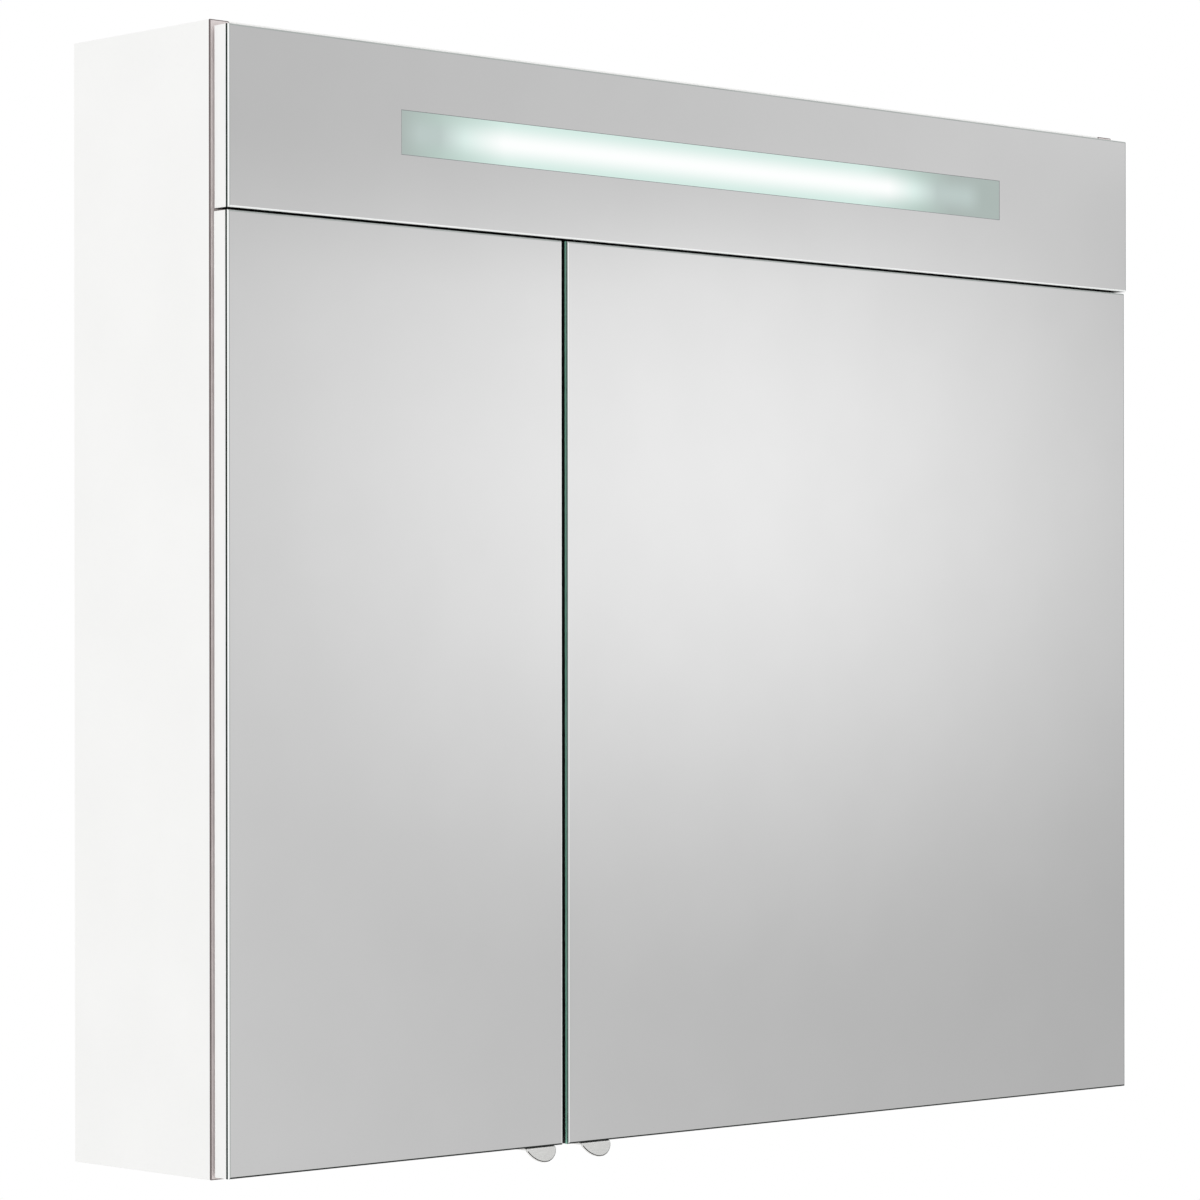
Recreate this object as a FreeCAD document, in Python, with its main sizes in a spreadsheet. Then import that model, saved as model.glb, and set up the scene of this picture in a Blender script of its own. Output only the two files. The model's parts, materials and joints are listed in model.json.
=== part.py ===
import FreeCAD, Part
import os
import re

import Sketcher

# A wall-hung bathroom mirror cabinet with a lit band across its top.
# Row frame: X to the right, the front faces -Y, Z up.  The origin is the centre of the
# wall-side face, so the wall is the plane y = 0 and every piece lies at y <= 0.

doc = FreeCAD.newDocument("mirror_cabinet")
size = doc.addObject("Spreadsheet::Sheet", "size")

DIMENSIONS = [
    # carcass
    ("cabinet_width", 900, "carcass, side to side"),
    ("cabinet_height", 748, "carcass, bottom to top"),
    ("carcass_depth", 147, "wall to the front edges of the carcass boards"),
    ("board", 16, "thickness of the carcass boards"),
    ("back_board", 6, "thickness of the back panel"),
    ("rabbet", 8, "how far the back panel runs into the boards round it"),
    ("left_bay", 295.9, "cabinet's left side to the middle of the gap between the doors"),
    ("light_band", 123.1, "cabinet's top to the middle of the gap under the light panel"),
    ("tool_past", 1, "cutting tools run past the faces they open"),
    # fronts
    ("front_gap", 2, "carcass front to the back of the doors and the light panel"),
    ("front_board", 12, "board behind each mirror"),
    ("mirror_glass", 3, "mirror glass"),
    ("arris", 1, "slanting polished edge round the front of each mirror"),
    ("seam_gap", 1.6, "gap between the light panel and the doors"),
    ("split_gap", 5, "gap between the two doors"),
    ("reveal_left", 1.5, "left door's edge inside the cabinet's side"),
    ("reveal_right", 4.5, "right door's edge inside the cabinet's side"),
    ("reveal_panel", 2, "light panel's ends inside the cabinet's sides"),
    ("reveal_top", 4.4, "light panel's top below the cabinet's top"),
    ("door_lift", 1.9, "doors' lower edge above the cabinet's underside"),
    # light panel
    ("window_length", 600, "satin window in the light panel's mirror"),
    ("window_height", 30, "satin window in the light panel's mirror"),
    ("window_drop", 61.8, "cabinet's top to the middle of the window"),
    ("window_shift", 2.2, "middle of the window and the lamp, left of the cabinet's middle"),
    ("window_margin", 3, "board's cut-out outside the window, all round"),
    # lamp
    ("tube_length", 517, "fluorescent tube, glass and caps"),
    ("tube_diameter", 16, "fluorescent tube"),
    ("tube_wall", 0.8, "glass of the tube"),
    ("tube_setback", 11, "carcass front to the tube's axis"),
    ("cap_length", 9, "metal cap at each end of the tube"),
    ("cap_wall", 0.3, "metal of the cap"),
    ("contact_pitch", 5, "contact pins of the cap, apart"),
    ("contact_radius", 1.1, "contact pin of the cap"),
    ("contact_length", 6, "contact pin of the cap, outside it"),
    ("holder_width", 22, "lampholder, up and down"),
    ("holder_front", 9.6, "tube's axis to the lampholder's front"),
    ("holder_length", 12, "lampholder, along the tube"),
    ("reflector_sheet", 1, "bent sheet of the reflector"),
    ("reflector_length", 640, "reflector, along the tube"),
    ("reflector_reach", 20, "tube's axis to the reflector's upright sheet"),
    ("reflector_rise", 27, "reflector's lips above and below the tube's axis"),
    ("reflector_foot", 18, "foot of the reflector on the light shelf"),
    ("ballast_length", 150, "ballast case"),
    ("ballast_width", 30, "ballast case"),
    ("ballast_height", 28, "ballast case"),
    ("ballast_tab", 12, "fixing tab at each end of the ballast"),
    ("ballast_offset", 160, "ballast's near end from the cabinet's middle"),
    ("gear_setback", 60, "wall to the middle of the ballast and the terminals"),
    ("terminal_length", 34, "terminal block"),
    ("terminal_width", 18, "terminal block"),
    ("terminal_height", 16, "terminal block"),
    ("terminal_offset", 60, "terminal block's near end from the cabinet's middle"),
    # cable entry
    ("entry_radius", 4, "bore of the cable grommet"),
    ("entry_hole", 7, "radius of the hole in the back panel"),
    ("entry_flange", 9, "radius of the grommet's flanges"),
    ("entry_lip", 1.5, "thickness of the grommet's inner flange"),
    ("entry_offset", 120, "cable grommet from the cabinet's middle"),
    # wall fixings
    ("fixing_radius", 3.25, "screw hole to the wall"),
    ("fixing_side", 35, "screw hole from the cabinet side's inner face"),
    ("fixing_drop", 25, "upper screw holes below the top board"),
    ("fixing_rise", 40, "lower screw holes above the bottom board"),
    ("fixing_plate_width", 44, "steel plate round each screw hole"),
    ("fixing_plate_height", 30, "steel plate round each screw hole"),
    ("fixing_plate_sheet", 2, "steel plate round each screw hole"),
    # board joints
    ("dowel_radius", 4, "wooden dowel"),
    ("dowel_length", 30, "wooden dowel"),
    ("dowel_side", 9, "dowel's length in the outer board"),
    ("dowel_front", 30, "front dowel from the carcass front"),
    ("dowel_rear", 30, "rear dowel from the wall"),
    ("cam_radius", 7.5, "cam lock"),
    ("cam_depth", 12.5, "cam lock"),
    ("cam_reach", 24, "cam lock's centre from the board's end"),
    ("cam_bolt_radius", 3, "cam bolt"),
    ("cam_bolt_side", 9, "cam bolt's length in the outer board"),
    # glass shelves
    ("shelf_glass", 5, "glass shelf"),
    ("shelf_arris", 0.5, "polished edge of a glass shelf"),
    ("shelf_play", 1, "gap at each end of a glass shelf"),
    ("shelf_setback", 14, "carcass front to the front edge of a glass shelf"),
    ("shelf_back_play", 3, "gap behind a glass shelf"),
    ("peg_radius", 2.5, "shelf peg"),
    ("peg_in", 6.5, "shelf peg, in the board"),
    ("peg_out", 8, "shelf peg, under the shelf"),
    ("peg_front", 37, "front pegs from the carcass front"),
    ("peg_rear", 32, "rear pegs from the wall"),
    ("peg_pitch", 32, "steps of the row of peg holes"),
    # concealed hinges
    ("hinge_end", 90, "hinge's middle from the door's end"),
    ("pin_edge", 5, "hinge pin's axis from the door's edge"),
    ("pin_depth", 7, "hinge pin's axis in front of the door's back"),
    ("pin_radius", 1.1, "hinge pin"),
    ("pin_half", 8.4, "half the length of the hinge pin"),
    ("pin_play", 0.05, "running gap round the hinge pin"),
    ("cup_radius", 17.5, "hinge cup"),
    ("cup_depth", 10.2, "hinge cup, in the door"),
    ("cup_edge", 1.7, "hinge cup from the door's edge"),
    ("cup_flange", 1, "flange of the cup on the door's back"),
    ("cup_flange_half", 30, "half the flange's length"),
    ("cup_flange_width", 17, "flange's width"),
    ("cup_pocket", 19, "cup's pocket beyond the pin"),
    ("cup_screw_half", 23.5, "cup screws above and below the hinge's middle"),
    ("knuckle_radius", 2, "arm's eye round the pin"),
    ("knuckle_play", 0.4, "gap between the arm and the cup's pocket"),
    ("arm_sheet", 2, "hinge arm"),
    ("arm_narrow", 8, "arm's width in the cup"),
    ("arm_wide", 15, "arm's width in the cabinet"),
    ("arm_reach", 52, "hinge pin to the arm's rear end"),
    ("plate_sheet", 3, "mounting plate"),
    ("plate_setback", 3, "carcass front to the plate's front end"),
    ("plate_wing_half", 24, "half the length of the plate's wings"),
    ("plate_wing_width", 12, "plate's wings, front to back"),
    ("plate_line", 37, "carcass front to the plate's screws"),
    ("plate_screw_half", 16, "plate's screws above and below the hinge's middle"),
    ("screw_radius", 1.75, "wood screw's shank"),
    ("screw_head", 3.4, "wood screw's head"),
    ("screw_head_height", 1.4, "wood screw's head"),
    ("screw_length", 9, "wood screw's shank"),
    # finger pulls
    ("pull_radius", 14.2, "round edge of the finger pull's leaf"),
    ("pull_drop", 11, "depth of the leaf from its bend"),
    ("pull_sheet", 1.5, "sheet of the finger pull"),
    ("pull_inset_left", 6.8, "left door's finger pull from the door's inner edge"),
    ("pull_inset_right", 12.1, "right door's finger pull from the door's inner edge"),
    ("pull_flange_end", 0.5, "door's back to the rear edge of the pull's flange"),
    ("pull_tilt", 30, "leaf's lean out from the vertical, in degrees"),
    ("pull_screw_radius", 1.2, "screw of the finger pull"),
    ("pull_screw_length", 12, "screw of the finger pull"),
    ("pull_screw_half", 9, "screws each side of the pull's middle"),
    ("bumper_radius", 4, "soft bumper"),
    ("bumper_height", 1.8, "soft bumper"),
    ("bumper_offset", 24, "bumpers each side of the gap between the doors"),
    # switch and socket
    ("unit_width", 118, "switch and socket unit"),
    ("unit_height", 50, "switch and socket unit"),
    ("unit_depth", 48, "switch and socket unit"),
    ("unit_side", 24, "unit from the right side's inner face"),
    ("unit_setback", 34, "carcass front to the unit's face"),
    ("socket_radius", 21.6, "socket insert"),
    ("socket_length", 22, "socket insert"),
    ("socket_recess", 19.5, "radius of the socket's recess"),
    ("socket_recess_depth", 17.5, "depth of the socket's recess"),
    ("socket_place", 34, "unit's left end to the socket's axis"),
    ("socket_hole_radius", 2.5, "socket's contact holes"),
    ("socket_hole_half", 9.5, "socket's contact holes from its axis"),
    ("earth_width", 5, "earth spring"),
    ("earth_sheet", 0.8, "earth spring"),
    ("earth_setback", 1, "unit's face to the front of the earth springs"),
    ("rocker_place", 26, "unit's right end to the rocker's middle"),
    ("rocker_width", 13, "switch rocker"),
    ("rocker_radius", 11.5, "switch rocker's ends round its axis"),
    ("rocker_front", 3.4, "rocker's face in front of its axis"),
    ("rocker_rear", 3, "rocker's back behind its axis"),
    ("rocker_sunk", 1.2, "rocker's axis behind the unit's face"),
    ("rocker_play", 0.5, "gap round the rocker"),
    ("rocker_room", 3.5, "gap behind the rocker for its lean"),
    ("rocker_tilt", 8, "rocker's lean each way, in degrees"),
    ("axle_radius", 1, "rocker's axle"),
    ("axle_end", 3, "axle's length in the unit at each end"),
    # brackets of the light panel
    ("bracket_leg", 20, "leg of the angle brackets"),
    ("bracket_width", 16, "angle bracket"),
    ("bracket_sheet", 2, "angle bracket"),
    ("bracket_line", 13, "bracket's corner to its screws"),
    ("bracket_side", 50, "outer brackets from the cabinet side's inner face"),
]

ALIASES = {alias for alias, value, meaning in DIMENSIONS}
for row, (alias, value, meaning) in enumerate(DIMENSIONS, start=1):
    size.set(f"A{row}", meaning)
    size.set(f"B{row}", str(value))
    size.setAlias(f"B{row}", alias)
doc.recompute()


# ---- places worked out from the sheet, as text that expressions take -------------------
BASE = "(-cabinet_height / 2)"
TOP = "(cabinet_height / 2)"
LEFT = "(-cabinet_width / 2)"
RIGHT = "(cabinet_width / 2)"
IN_LEFT = "(-cabinet_width / 2 + board)"
IN_RIGHT = "(cabinet_width / 2 - board)"
IN_TOP = f"({TOP} - board)"
IN_BASE = f"({BASE} + board)"
FRONT = "(-carcass_depth)"
BACK_IN = "(-back_board)"
SPLIT = "(-cabinet_width / 2 + left_bay)"
SEAM = f"({TOP} - light_band)"
LAMP_FLOOR = f"({SEAM} + board / 2)"
BAY_TOP = f"({SEAM} - board / 2)"
PART_LEFT = f"({SPLIT} - board / 2)"
PART_RIGHT = f"({SPLIT} + board / 2)"
DOOR_BACK = "(-carcass_depth - front_gap)"
GLASS_BACK = f"({DOOR_BACK} - front_board)"
GLASS_FRONT = f"({GLASS_BACK} - mirror_glass)"
DOOR_BASE = f"({BASE} + door_lift)"
DOOR_TOP = f"({SEAM} - seam_gap / 2)"
PANEL_BASE = f"({SEAM} + seam_gap / 2)"
PANEL_TOP = f"({TOP} - reveal_top)"
PANEL_HALF = "(cabinet_width / 2 - reveal_panel)"
WINDOW = f"({TOP} - window_drop)"
WINDOW_X = "(-window_shift)"
LAMP_Y = f"({FRONT} + tube_setback)"
PIN_Y = f"({DOOR_BACK} - pin_depth)"

# a door's place: its label, its outer edge, its inner edge and the way it runs from its hinges
DOORS = {
    "left": {"outer": f"({LEFT} + reveal_left)", "inner": f"({SPLIT} - split_gap / 2)",
             "way": 1, "reveal": "reveal_left", "pull_inset": "pull_inset_left"},
    "right": {"outer": f"({RIGHT} - reveal_right)", "inner": f"({SPLIT} + split_gap / 2)",
              "way": -1, "reveal": "reveal_right", "pull_inset": "pull_inset_right"},
}
HINGES = {"upper": f"({DOOR_TOP} - hinge_end)", "lower": f"({DOOR_BASE} + hinge_end)"}
BAYS = {
    "left": {"low": IN_LEFT, "high": PART_LEFT},
    "right": {"low": PART_RIGHT, "high": IN_RIGHT},
}
SHELVES = {
    "lower": f"({IN_BASE} + ({BAY_TOP} - {IN_BASE}) / 3)",
    "upper": f"({IN_BASE} + ({BAY_TOP} - {IN_BASE}) * 2 / 3)",
}
PEG_ROWS = {"front": f"({FRONT} + peg_front)", "rear": "(-peg_rear)"}


# ---- small helpers ---------------------------------------------------------------------
def bind(words):
    """Turn a line such as 'board + front_gap' into an expression on the sheet."""
    return re.sub(r"[a-z_]+", lambda word: f"size.{word.group(0)}"
                  if word.group(0) in ALIASES else word.group(0), str(words))


def put(piece, x, y, z):
    """Bind the place of a piece to the sheet."""
    for axis, words in (("x", x), ("y", y), ("z", z)):
        piece.setExpression(f"Placement.Base.{axis}", bind(words))
    return piece


def lean(piece, angle):
    """Turn a piece about -X, and bind the angle to the sheet."""
    piece.Placement = FreeCAD.Placement(FreeCAD.Vector(), FreeCAD.Rotation(FreeCAD.Vector(-1, 0, 0), 1))
    piece.setExpression("Placement.Rotation.Angle", bind(angle))
    return piece


def box(x0, x1, y0, y1, z0, z1):
    """A block between six places."""
    piece = doc.addObject("Part::Box", "block")
    piece.setExpression("Length", bind(f"({x1}) - ({x0})"))
    piece.setExpression("Width", bind(f"({y1}) - ({y0})"))
    piece.setExpression("Height", bind(f"({z1}) - ({z0})"))
    return put(piece, x0, y0, z0)


TURNS = {
    "x": FreeCAD.Rotation(FreeCAD.Vector(0, 1, 0), 90),
    "y": FreeCAD.Rotation(FreeCAD.Vector(1, 0, 0), -90),
    "z": FreeCAD.Rotation(),
}


def rod(axis, radius, length, x, y, z):
    """A round rod that starts at a place and runs along +axis."""
    piece = doc.addObject("Part::Cylinder", "rod")
    piece.setExpression("Radius", bind(radius))
    piece.setExpression("Height", bind(length))
    piece.Placement = FreeCAD.Placement(FreeCAD.Vector(), TURNS[axis])
    return put(piece, x, y, z)


def fuse(*pieces):
    """Several shapes made one."""
    piece = doc.addObject("Part::MultiFuse", "joined")
    piece.Shapes = list(pieces)
    return piece


def cut(base, *tools):
    """A shape with others taken away."""
    piece = doc.addObject("Part::Cut", "cut")
    piece.Base = base
    piece.Tool = tools[0] if len(tools) == 1 else fuse(*tools)
    return piece


def group(*pieces):
    """Several separate solids kept in one node."""
    piece = doc.addObject("Part::Compound", "set")
    piece.Links = list(pieces)
    return piece


NODES = []
NEAR = 0.01


def node(label, piece):
    """Name a finished piece."""
    piece.Label = label
    NODES.append(piece)
    return piece


def screw(axis, way, x, y, z, length="screw_length"):
    """A wood screw: its head's underside at a place, its shank running along way * axis."""
    sign = "" if way > 0 else "-"
    place = {"x": x, "y": y, "z": z}
    shank, head = dict(place), dict(place)
    if way < 0:
        shank[axis] = f"({place[axis]}) - {length}"
    else:
        head[axis] = f"({place[axis]}) - screw_head_height"
    return fuse(
        rod(axis, "screw_radius", length, shank["x"], shank["y"], shank["z"]),
        rod(axis, "screw_head", "screw_head_height", head["x"], head["y"], head["z"]))


def pilot(axis, way, x, y, z, length="screw_length"):
    """The hole that a wood screw fills."""
    place = {"x": x, "y": y, "z": z}
    if way < 0:
        place[axis] = f"({place[axis]}) - {length}"
    return rod(axis, "screw_radius", length, place["x"], place["y"], place["z"])


def pane(label, plane, low, high, level, thickness, ground_width, front_only=False):
    """A pane of glass: a sketched rectangle, padded, with its edges ground."""
    body = doc.addObject("PartDesign::Body", "pane")
    sketch = body.newObject("Sketcher::SketchObject", "outline")
    origin_plane = [item for item in body.Origin.OriginFeatures if item.Role == plane][0]
    sketch.AttachmentSupport = [(origin_plane, "")]
    sketch.MapMode = "FlatFace"
    corners = [FreeCAD.Vector(0, 0), FreeCAD.Vector(10, 0), FreeCAD.Vector(10, 5),
               FreeCAD.Vector(0, 5)]
    for index in range(4):
        sketch.addGeometry(Part.LineSegment(corners[index], corners[(index + 1) % 4]), False)
    for index in range(4):
        sketch.addConstraint(Sketcher.Constraint("Coincident", index, 2, (index + 1) % 4, 1))
        sketch.addConstraint(Sketcher.Constraint("Horizontal" if index % 2 == 0 else "Vertical", index))
    sketch.addConstraint(Sketcher.Constraint("Coincident", 0, 1, -1, 1))
    wide = sketch.addConstraint(Sketcher.Constraint("DistanceX", 0, 1, 0, 2, 10))
    tall = sketch.addConstraint(Sketcher.Constraint("DistanceY", 1, 1, 1, 2, 5))
    sketch.setExpression(f"Constraints[{wide}]", bind(f"({high[0]}) - ({low[0]})"))
    sketch.setExpression(f"Constraints[{tall}]", bind(f"({high[1]}) - ({low[1]})"))
    pad = body.newObject("PartDesign::Pad", "glass")
    pad.Profile = sketch
    pad.setExpression("Length", bind(thickness))
    doc.recompute()
    front = pad.Shape.BoundBox.YMin
    edges = [f"Edge{count}" for count, edge in enumerate(pad.Shape.Edges, start=1)
             if not front_only or edge.BoundBox.YMax < front + NEAR]
    ground = body.newObject("PartDesign::Chamfer", "ground_edges")
    ground.Base = (pad, edges)
    ground.setExpression("Size", bind(ground_width))
    if plane == "XZ_Plane":
        put(body, low[0], level, low[1])
    else:
        put(body, low[0], low[1], level)
    return node(label, body)


# ---- board joints: dowels and cam locks ------------------------------------------------
# Each lying board meets the two sides with two dowels and one cam lock at each end.
LYING = {
    "top_panel": {"middle": f"({TOP} - board / 2)", "cam_from": "below"},
    "light_shelf": {"middle": SEAM, "cam_from": "above"},
    "bottom_panel": {"middle": f"({BASE} + board / 2)", "cam_from": "below"},
}
DOWEL_ROWS = [f"({FRONT} + dowel_front)", "(-dowel_rear)"]
CAM_ROW = "(-carcass_depth / 2)"


def end_dowels(middle):
    """The four dowels at the ends of one lying board."""
    return [rod("x", "dowel_radius", "dowel_length", start, row, middle)
            for start in (f"{IN_LEFT} - dowel_side", f"{IN_RIGHT} + dowel_side - dowel_length")
            for row in DOWEL_ROWS]


def post_dowels():
    """The dowels that stand between the partition and the boards above and below it."""
    return [rod("z", "dowel_radius", "dowel_length", SPLIT, row, start)
            for start in (f"{IN_BASE} - dowel_side", f"{BAY_TOP} + dowel_side - dowel_length")
            for row in DOWEL_ROWS]


def cams(board):
    """The two cam locks let into one face of a lying board."""
    start = f"({board['middle']} - board / 2)"
    if board["cam_from"] == "above":
        start = f"({board['middle']} + board / 2 - cam_depth)"
    return [rod("z", "cam_radius", "cam_depth", x, CAM_ROW, start)
            for x in (f"{IN_LEFT} + cam_reach", f"{IN_RIGHT} - cam_reach")]


def cam_bolts(board, into="0"):
    """The bolts that run from the sides to the cam locks; their holes run a little into the locks' holes."""
    length = f"cam_bolt_side + cam_reach - cam_radius + {into}"
    return [rod("x", "cam_bolt_radius", length, x, CAM_ROW, board["middle"])
            for x in (f"{IN_LEFT} - cam_bolt_side", f"{IN_RIGHT} - cam_reach + cam_radius - {into}")]


def joint_holes(middle_only=None):
    """Everything that the board joints take out of the boards."""
    tools = []
    for name, board in LYING.items():
        if middle_only in (None, name):
            tools += end_dowels(board["middle"]) + cams(board) + cam_bolts(board, "cam_radius / 2")
    return tools


# ---- pegs ------------------------------------------------------------------------------
def peg_rods(face, way, radius="peg_radius"):
    """Peg holes in one upright face; the middle hole of each row of three holds a peg."""
    start = face if way > 0 else f"({face} - peg_in)"
    return [rod("x", radius, "peg_in", start, row, f"{height} - peg_radius + ({step}) * peg_pitch")
            for height in SHELVES.values() for row in PEG_ROWS.values() for step in (-1, 0, 1)]


def pegs(bay):
    """The eight pegs of one bay."""
    made = []
    for height in SHELVES.values():
        for row in PEG_ROWS.values():
            for start in (f"{bay['low']} - peg_in", f"{bay['high']} - peg_out"):
                made.append(rod("x", "peg_radius", "peg_in + peg_out", start, row,
                                f"{height} - peg_radius"))
    return made


# ---- carcass ---------------------------------------------------------------------------
def plate_screw_places(door):
    """Where the screws of a door's two mounting plates go."""
    return [(f"{FRONT} + plate_line", f"{height} + ({sign}) * plate_screw_half")
            for height in HINGES.values() for sign in (-1, 1)]


def side(name, outer, inner, way):
    """An upright side board; way points from it into the cabinet."""
    door = DOORS[name]
    low, high = (outer, inner) if way > 0 else (inner, outer)
    rabbet_low = f"{inner} - rabbet" if way > 0 else inner
    rabbet_high = inner if way > 0 else f"{inner} + rabbet"
    tools = [box(rabbet_low, rabbet_high, BACK_IN, "tool_past", f"{IN_BASE} - rabbet",
                 f"{IN_TOP} + rabbet")]
    tools += joint_holes() + peg_rods(inner, -way)
    tools += [pilot("x", -way, inner, row, height) for row, height in plate_screw_places(door)]
    node(f"side_{name}", cut(box(low, high, FRONT, "0", BASE, TOP), *tools))


def lying(name, z0, z1, rear, *tools):
    """A lying board between the sides."""
    node(name, cut(box(IN_LEFT, IN_RIGHT, FRONT, rear, z0, z1), *joint_holes(name), *tools))


def bracket_places():
    """Middle of each angle bracket along the light panel."""
    return [f"({IN_LEFT} + bracket_side)", f"({IN_RIGHT} - bracket_side)"]


def bracket_board_screws(maker):
    """Upright screws that hold the brackets to the light shelf and the top board."""
    row = f"({DOOR_BACK} + bracket_line)"
    made = []
    for x in bracket_places():
        made.append(maker("z", -1, x, row, f"{LAMP_FLOOR} + bracket_sheet"))
        made.append(maker("z", 1, x, row, f"{IN_TOP} - bracket_sheet"))
    return made


def bracket_panel_screws(maker):
    """Level screws that hold the light panel's board to the brackets."""
    made = []
    for x in bracket_places():
        for height in (f"{LAMP_FLOOR} + bracket_line", f"{IN_TOP} - bracket_line"):
            made.append(maker("y", -1, x, f"{DOOR_BACK} + bracket_sheet", height))
    return made


side("left", LEFT, IN_LEFT, 1)
side("right", RIGHT, IN_RIGHT, -1)
lying("top_panel", IN_TOP, TOP, "0",
      box(IN_LEFT, IN_RIGHT, BACK_IN, "tool_past", IN_TOP, f"{IN_TOP} + rabbet"),
      *bracket_board_screws(pilot))
lying("light_shelf", BAY_TOP, LAMP_FLOOR, BACK_IN, *post_dowels(), *bracket_board_screws(pilot))
lying("bottom_panel", BASE, IN_BASE, "0",
      box(IN_LEFT, IN_RIGHT, BACK_IN, "tool_past", f"{IN_BASE} - rabbet", IN_BASE), *post_dowels())
node("partition", cut(box(PART_LEFT, PART_RIGHT, FRONT, BACK_IN, IN_BASE, BAY_TOP), *post_dowels(),
                      *peg_rods(PART_LEFT, 1), *peg_rods(PART_RIGHT, -1)))

dowels = post_dowels()
cam_discs = []
bolts = []
for board in LYING.values():
    dowels += end_dowels(board["middle"])
    cam_discs += cams(board)
    bolts += cam_bolts(board)
node("dowels", group(*dowels))
node("cam_locks", group(*cam_discs))
node("cam_bolts", group(*bolts))

# ---- back panel, wall fixings and cable entry ------------------------------------------
FIXINGS = [(x, z)
           for x in (f"({IN_LEFT} + fixing_side)", f"({IN_RIGHT} - fixing_side)")
           for z in (f"({IN_BASE} + fixing_rise)", f"({IN_TOP} - fixing_drop)")]
ENTRY_Z = f"(({LAMP_FLOOR} + {IN_TOP}) / 2)"


def fixing_holes():
    """The four screw holes to the wall."""
    return [rod("y", "fixing_radius", "back_board + fixing_plate_sheet + tool_past * 2", x,
                f"{BACK_IN} - fixing_plate_sheet - tool_past", z) for x, z in FIXINGS]


node("back_panel", cut(
    box(f"{IN_LEFT} - rabbet", f"{IN_RIGHT} + rabbet", BACK_IN, "0",
        f"{IN_BASE} - rabbet", f"{IN_TOP} + rabbet"),
    *fixing_holes(),
    rod("y", "entry_hole", "back_board + tool_past * 2", "entry_offset", f"{BACK_IN} - tool_past", ENTRY_Z)))
node("fixing_plates", group(*[
    cut(box(f"{x} - fixing_plate_width / 2", f"{x} + fixing_plate_width / 2",
            f"{BACK_IN} - fixing_plate_sheet", BACK_IN,
            f"{z} - fixing_plate_height / 2", f"{z} + fixing_plate_height / 2"), hole)
    for (x, z), hole in zip(FIXINGS, fixing_holes())]))
node("cable_grommet", cut(
    fuse(rod("y", "entry_hole", "back_board", "entry_offset", BACK_IN, ENTRY_Z),
         rod("y", "entry_flange", "entry_lip", "entry_offset", f"{BACK_IN} - entry_lip", ENTRY_Z)),
    rod("y", "entry_radius", "back_board + entry_lip + tool_past * 2", "entry_offset",
        f"{BACK_IN} - entry_lip - tool_past", ENTRY_Z)))

# ---- light panel -----------------------------------------------------------------------
node("light_panel_board", cut(
    box(f"-{PANEL_HALF}", PANEL_HALF, GLASS_BACK, DOOR_BACK, PANEL_BASE, PANEL_TOP),
    box(f"{WINDOW_X} - window_length / 2 - window_margin", f"{WINDOW_X} + window_length / 2 + window_margin",
        f"{GLASS_BACK} - tool_past", f"{DOOR_BACK} + tool_past",
        f"{WINDOW} - window_height / 2 - window_margin", f"{WINDOW} + window_height / 2 + window_margin"),
    *bracket_panel_screws(pilot)))
pane("light_panel_mirror", "XZ_Plane", (f"-{PANEL_HALF}", PANEL_BASE), (PANEL_HALF, PANEL_TOP),
     GLASS_BACK, "mirror_glass", "arris", front_only=True)


def bracket(x, level, way):
    """An angle bracket: one leg lies on a board, the other stands behind the light panel."""
    sheet_low, sheet_high = (level, f"{level} + bracket_sheet")
    leg_low, leg_high = (level, f"{level} + bracket_leg")
    if way < 0:
        sheet_low, sheet_high = (f"{level} - bracket_sheet", level)
        leg_low, leg_high = (f"{level} - bracket_leg", level)
    low, high = f"{x} - bracket_width / 2", f"{x} + bracket_width / 2"
    return cut(
        fuse(box(low, high, DOOR_BACK, f"{DOOR_BACK} + bracket_leg", sheet_low, sheet_high),
             box(low, high, DOOR_BACK, f"{DOOR_BACK} + bracket_sheet", leg_low, leg_high)),
        *bracket_board_screws(pilot_through), *bracket_panel_screws(pilot_through))


def pilot_through(axis, way, x, y, z, length="screw_length"):
    """The hole of a bracket's screw, as long on both sides of the bracket's sheet."""
    place = {"x": x, "y": y, "z": z}
    place[axis] = f"({place[axis]}) - screw_length"
    return rod(axis, "screw_radius", "screw_length * 2", place["x"], place["y"], place["z"])


node("panel_brackets", group(*[bracket(x, level, way) for x in bracket_places()
                               for level, way in ((LAMP_FLOOR, 1), (IN_TOP, -1))]))
node("bracket_screws", group(*bracket_board_screws(screw), *bracket_panel_screws(screw)))

# ---- lamp ------------------------------------------------------------------------------
TUBE_LEFT = f"({WINDOW_X} - tube_length / 2)"
TUBE_RIGHT = f"({WINDOW_X} + tube_length / 2)"
tube = cut(rod("x", "tube_diameter / 2", "tube_length - cap_wall * 2", f"{TUBE_LEFT} + cap_wall",
               LAMP_Y, WINDOW),
           rod("x", "tube_diameter / 2 - tube_wall", "tube_length - tube_wall * 2 - cap_wall * 2",
               f"{TUBE_LEFT} + tube_wall + cap_wall", LAMP_Y, WINDOW))
node("fluorescent_tube", tube)

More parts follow.
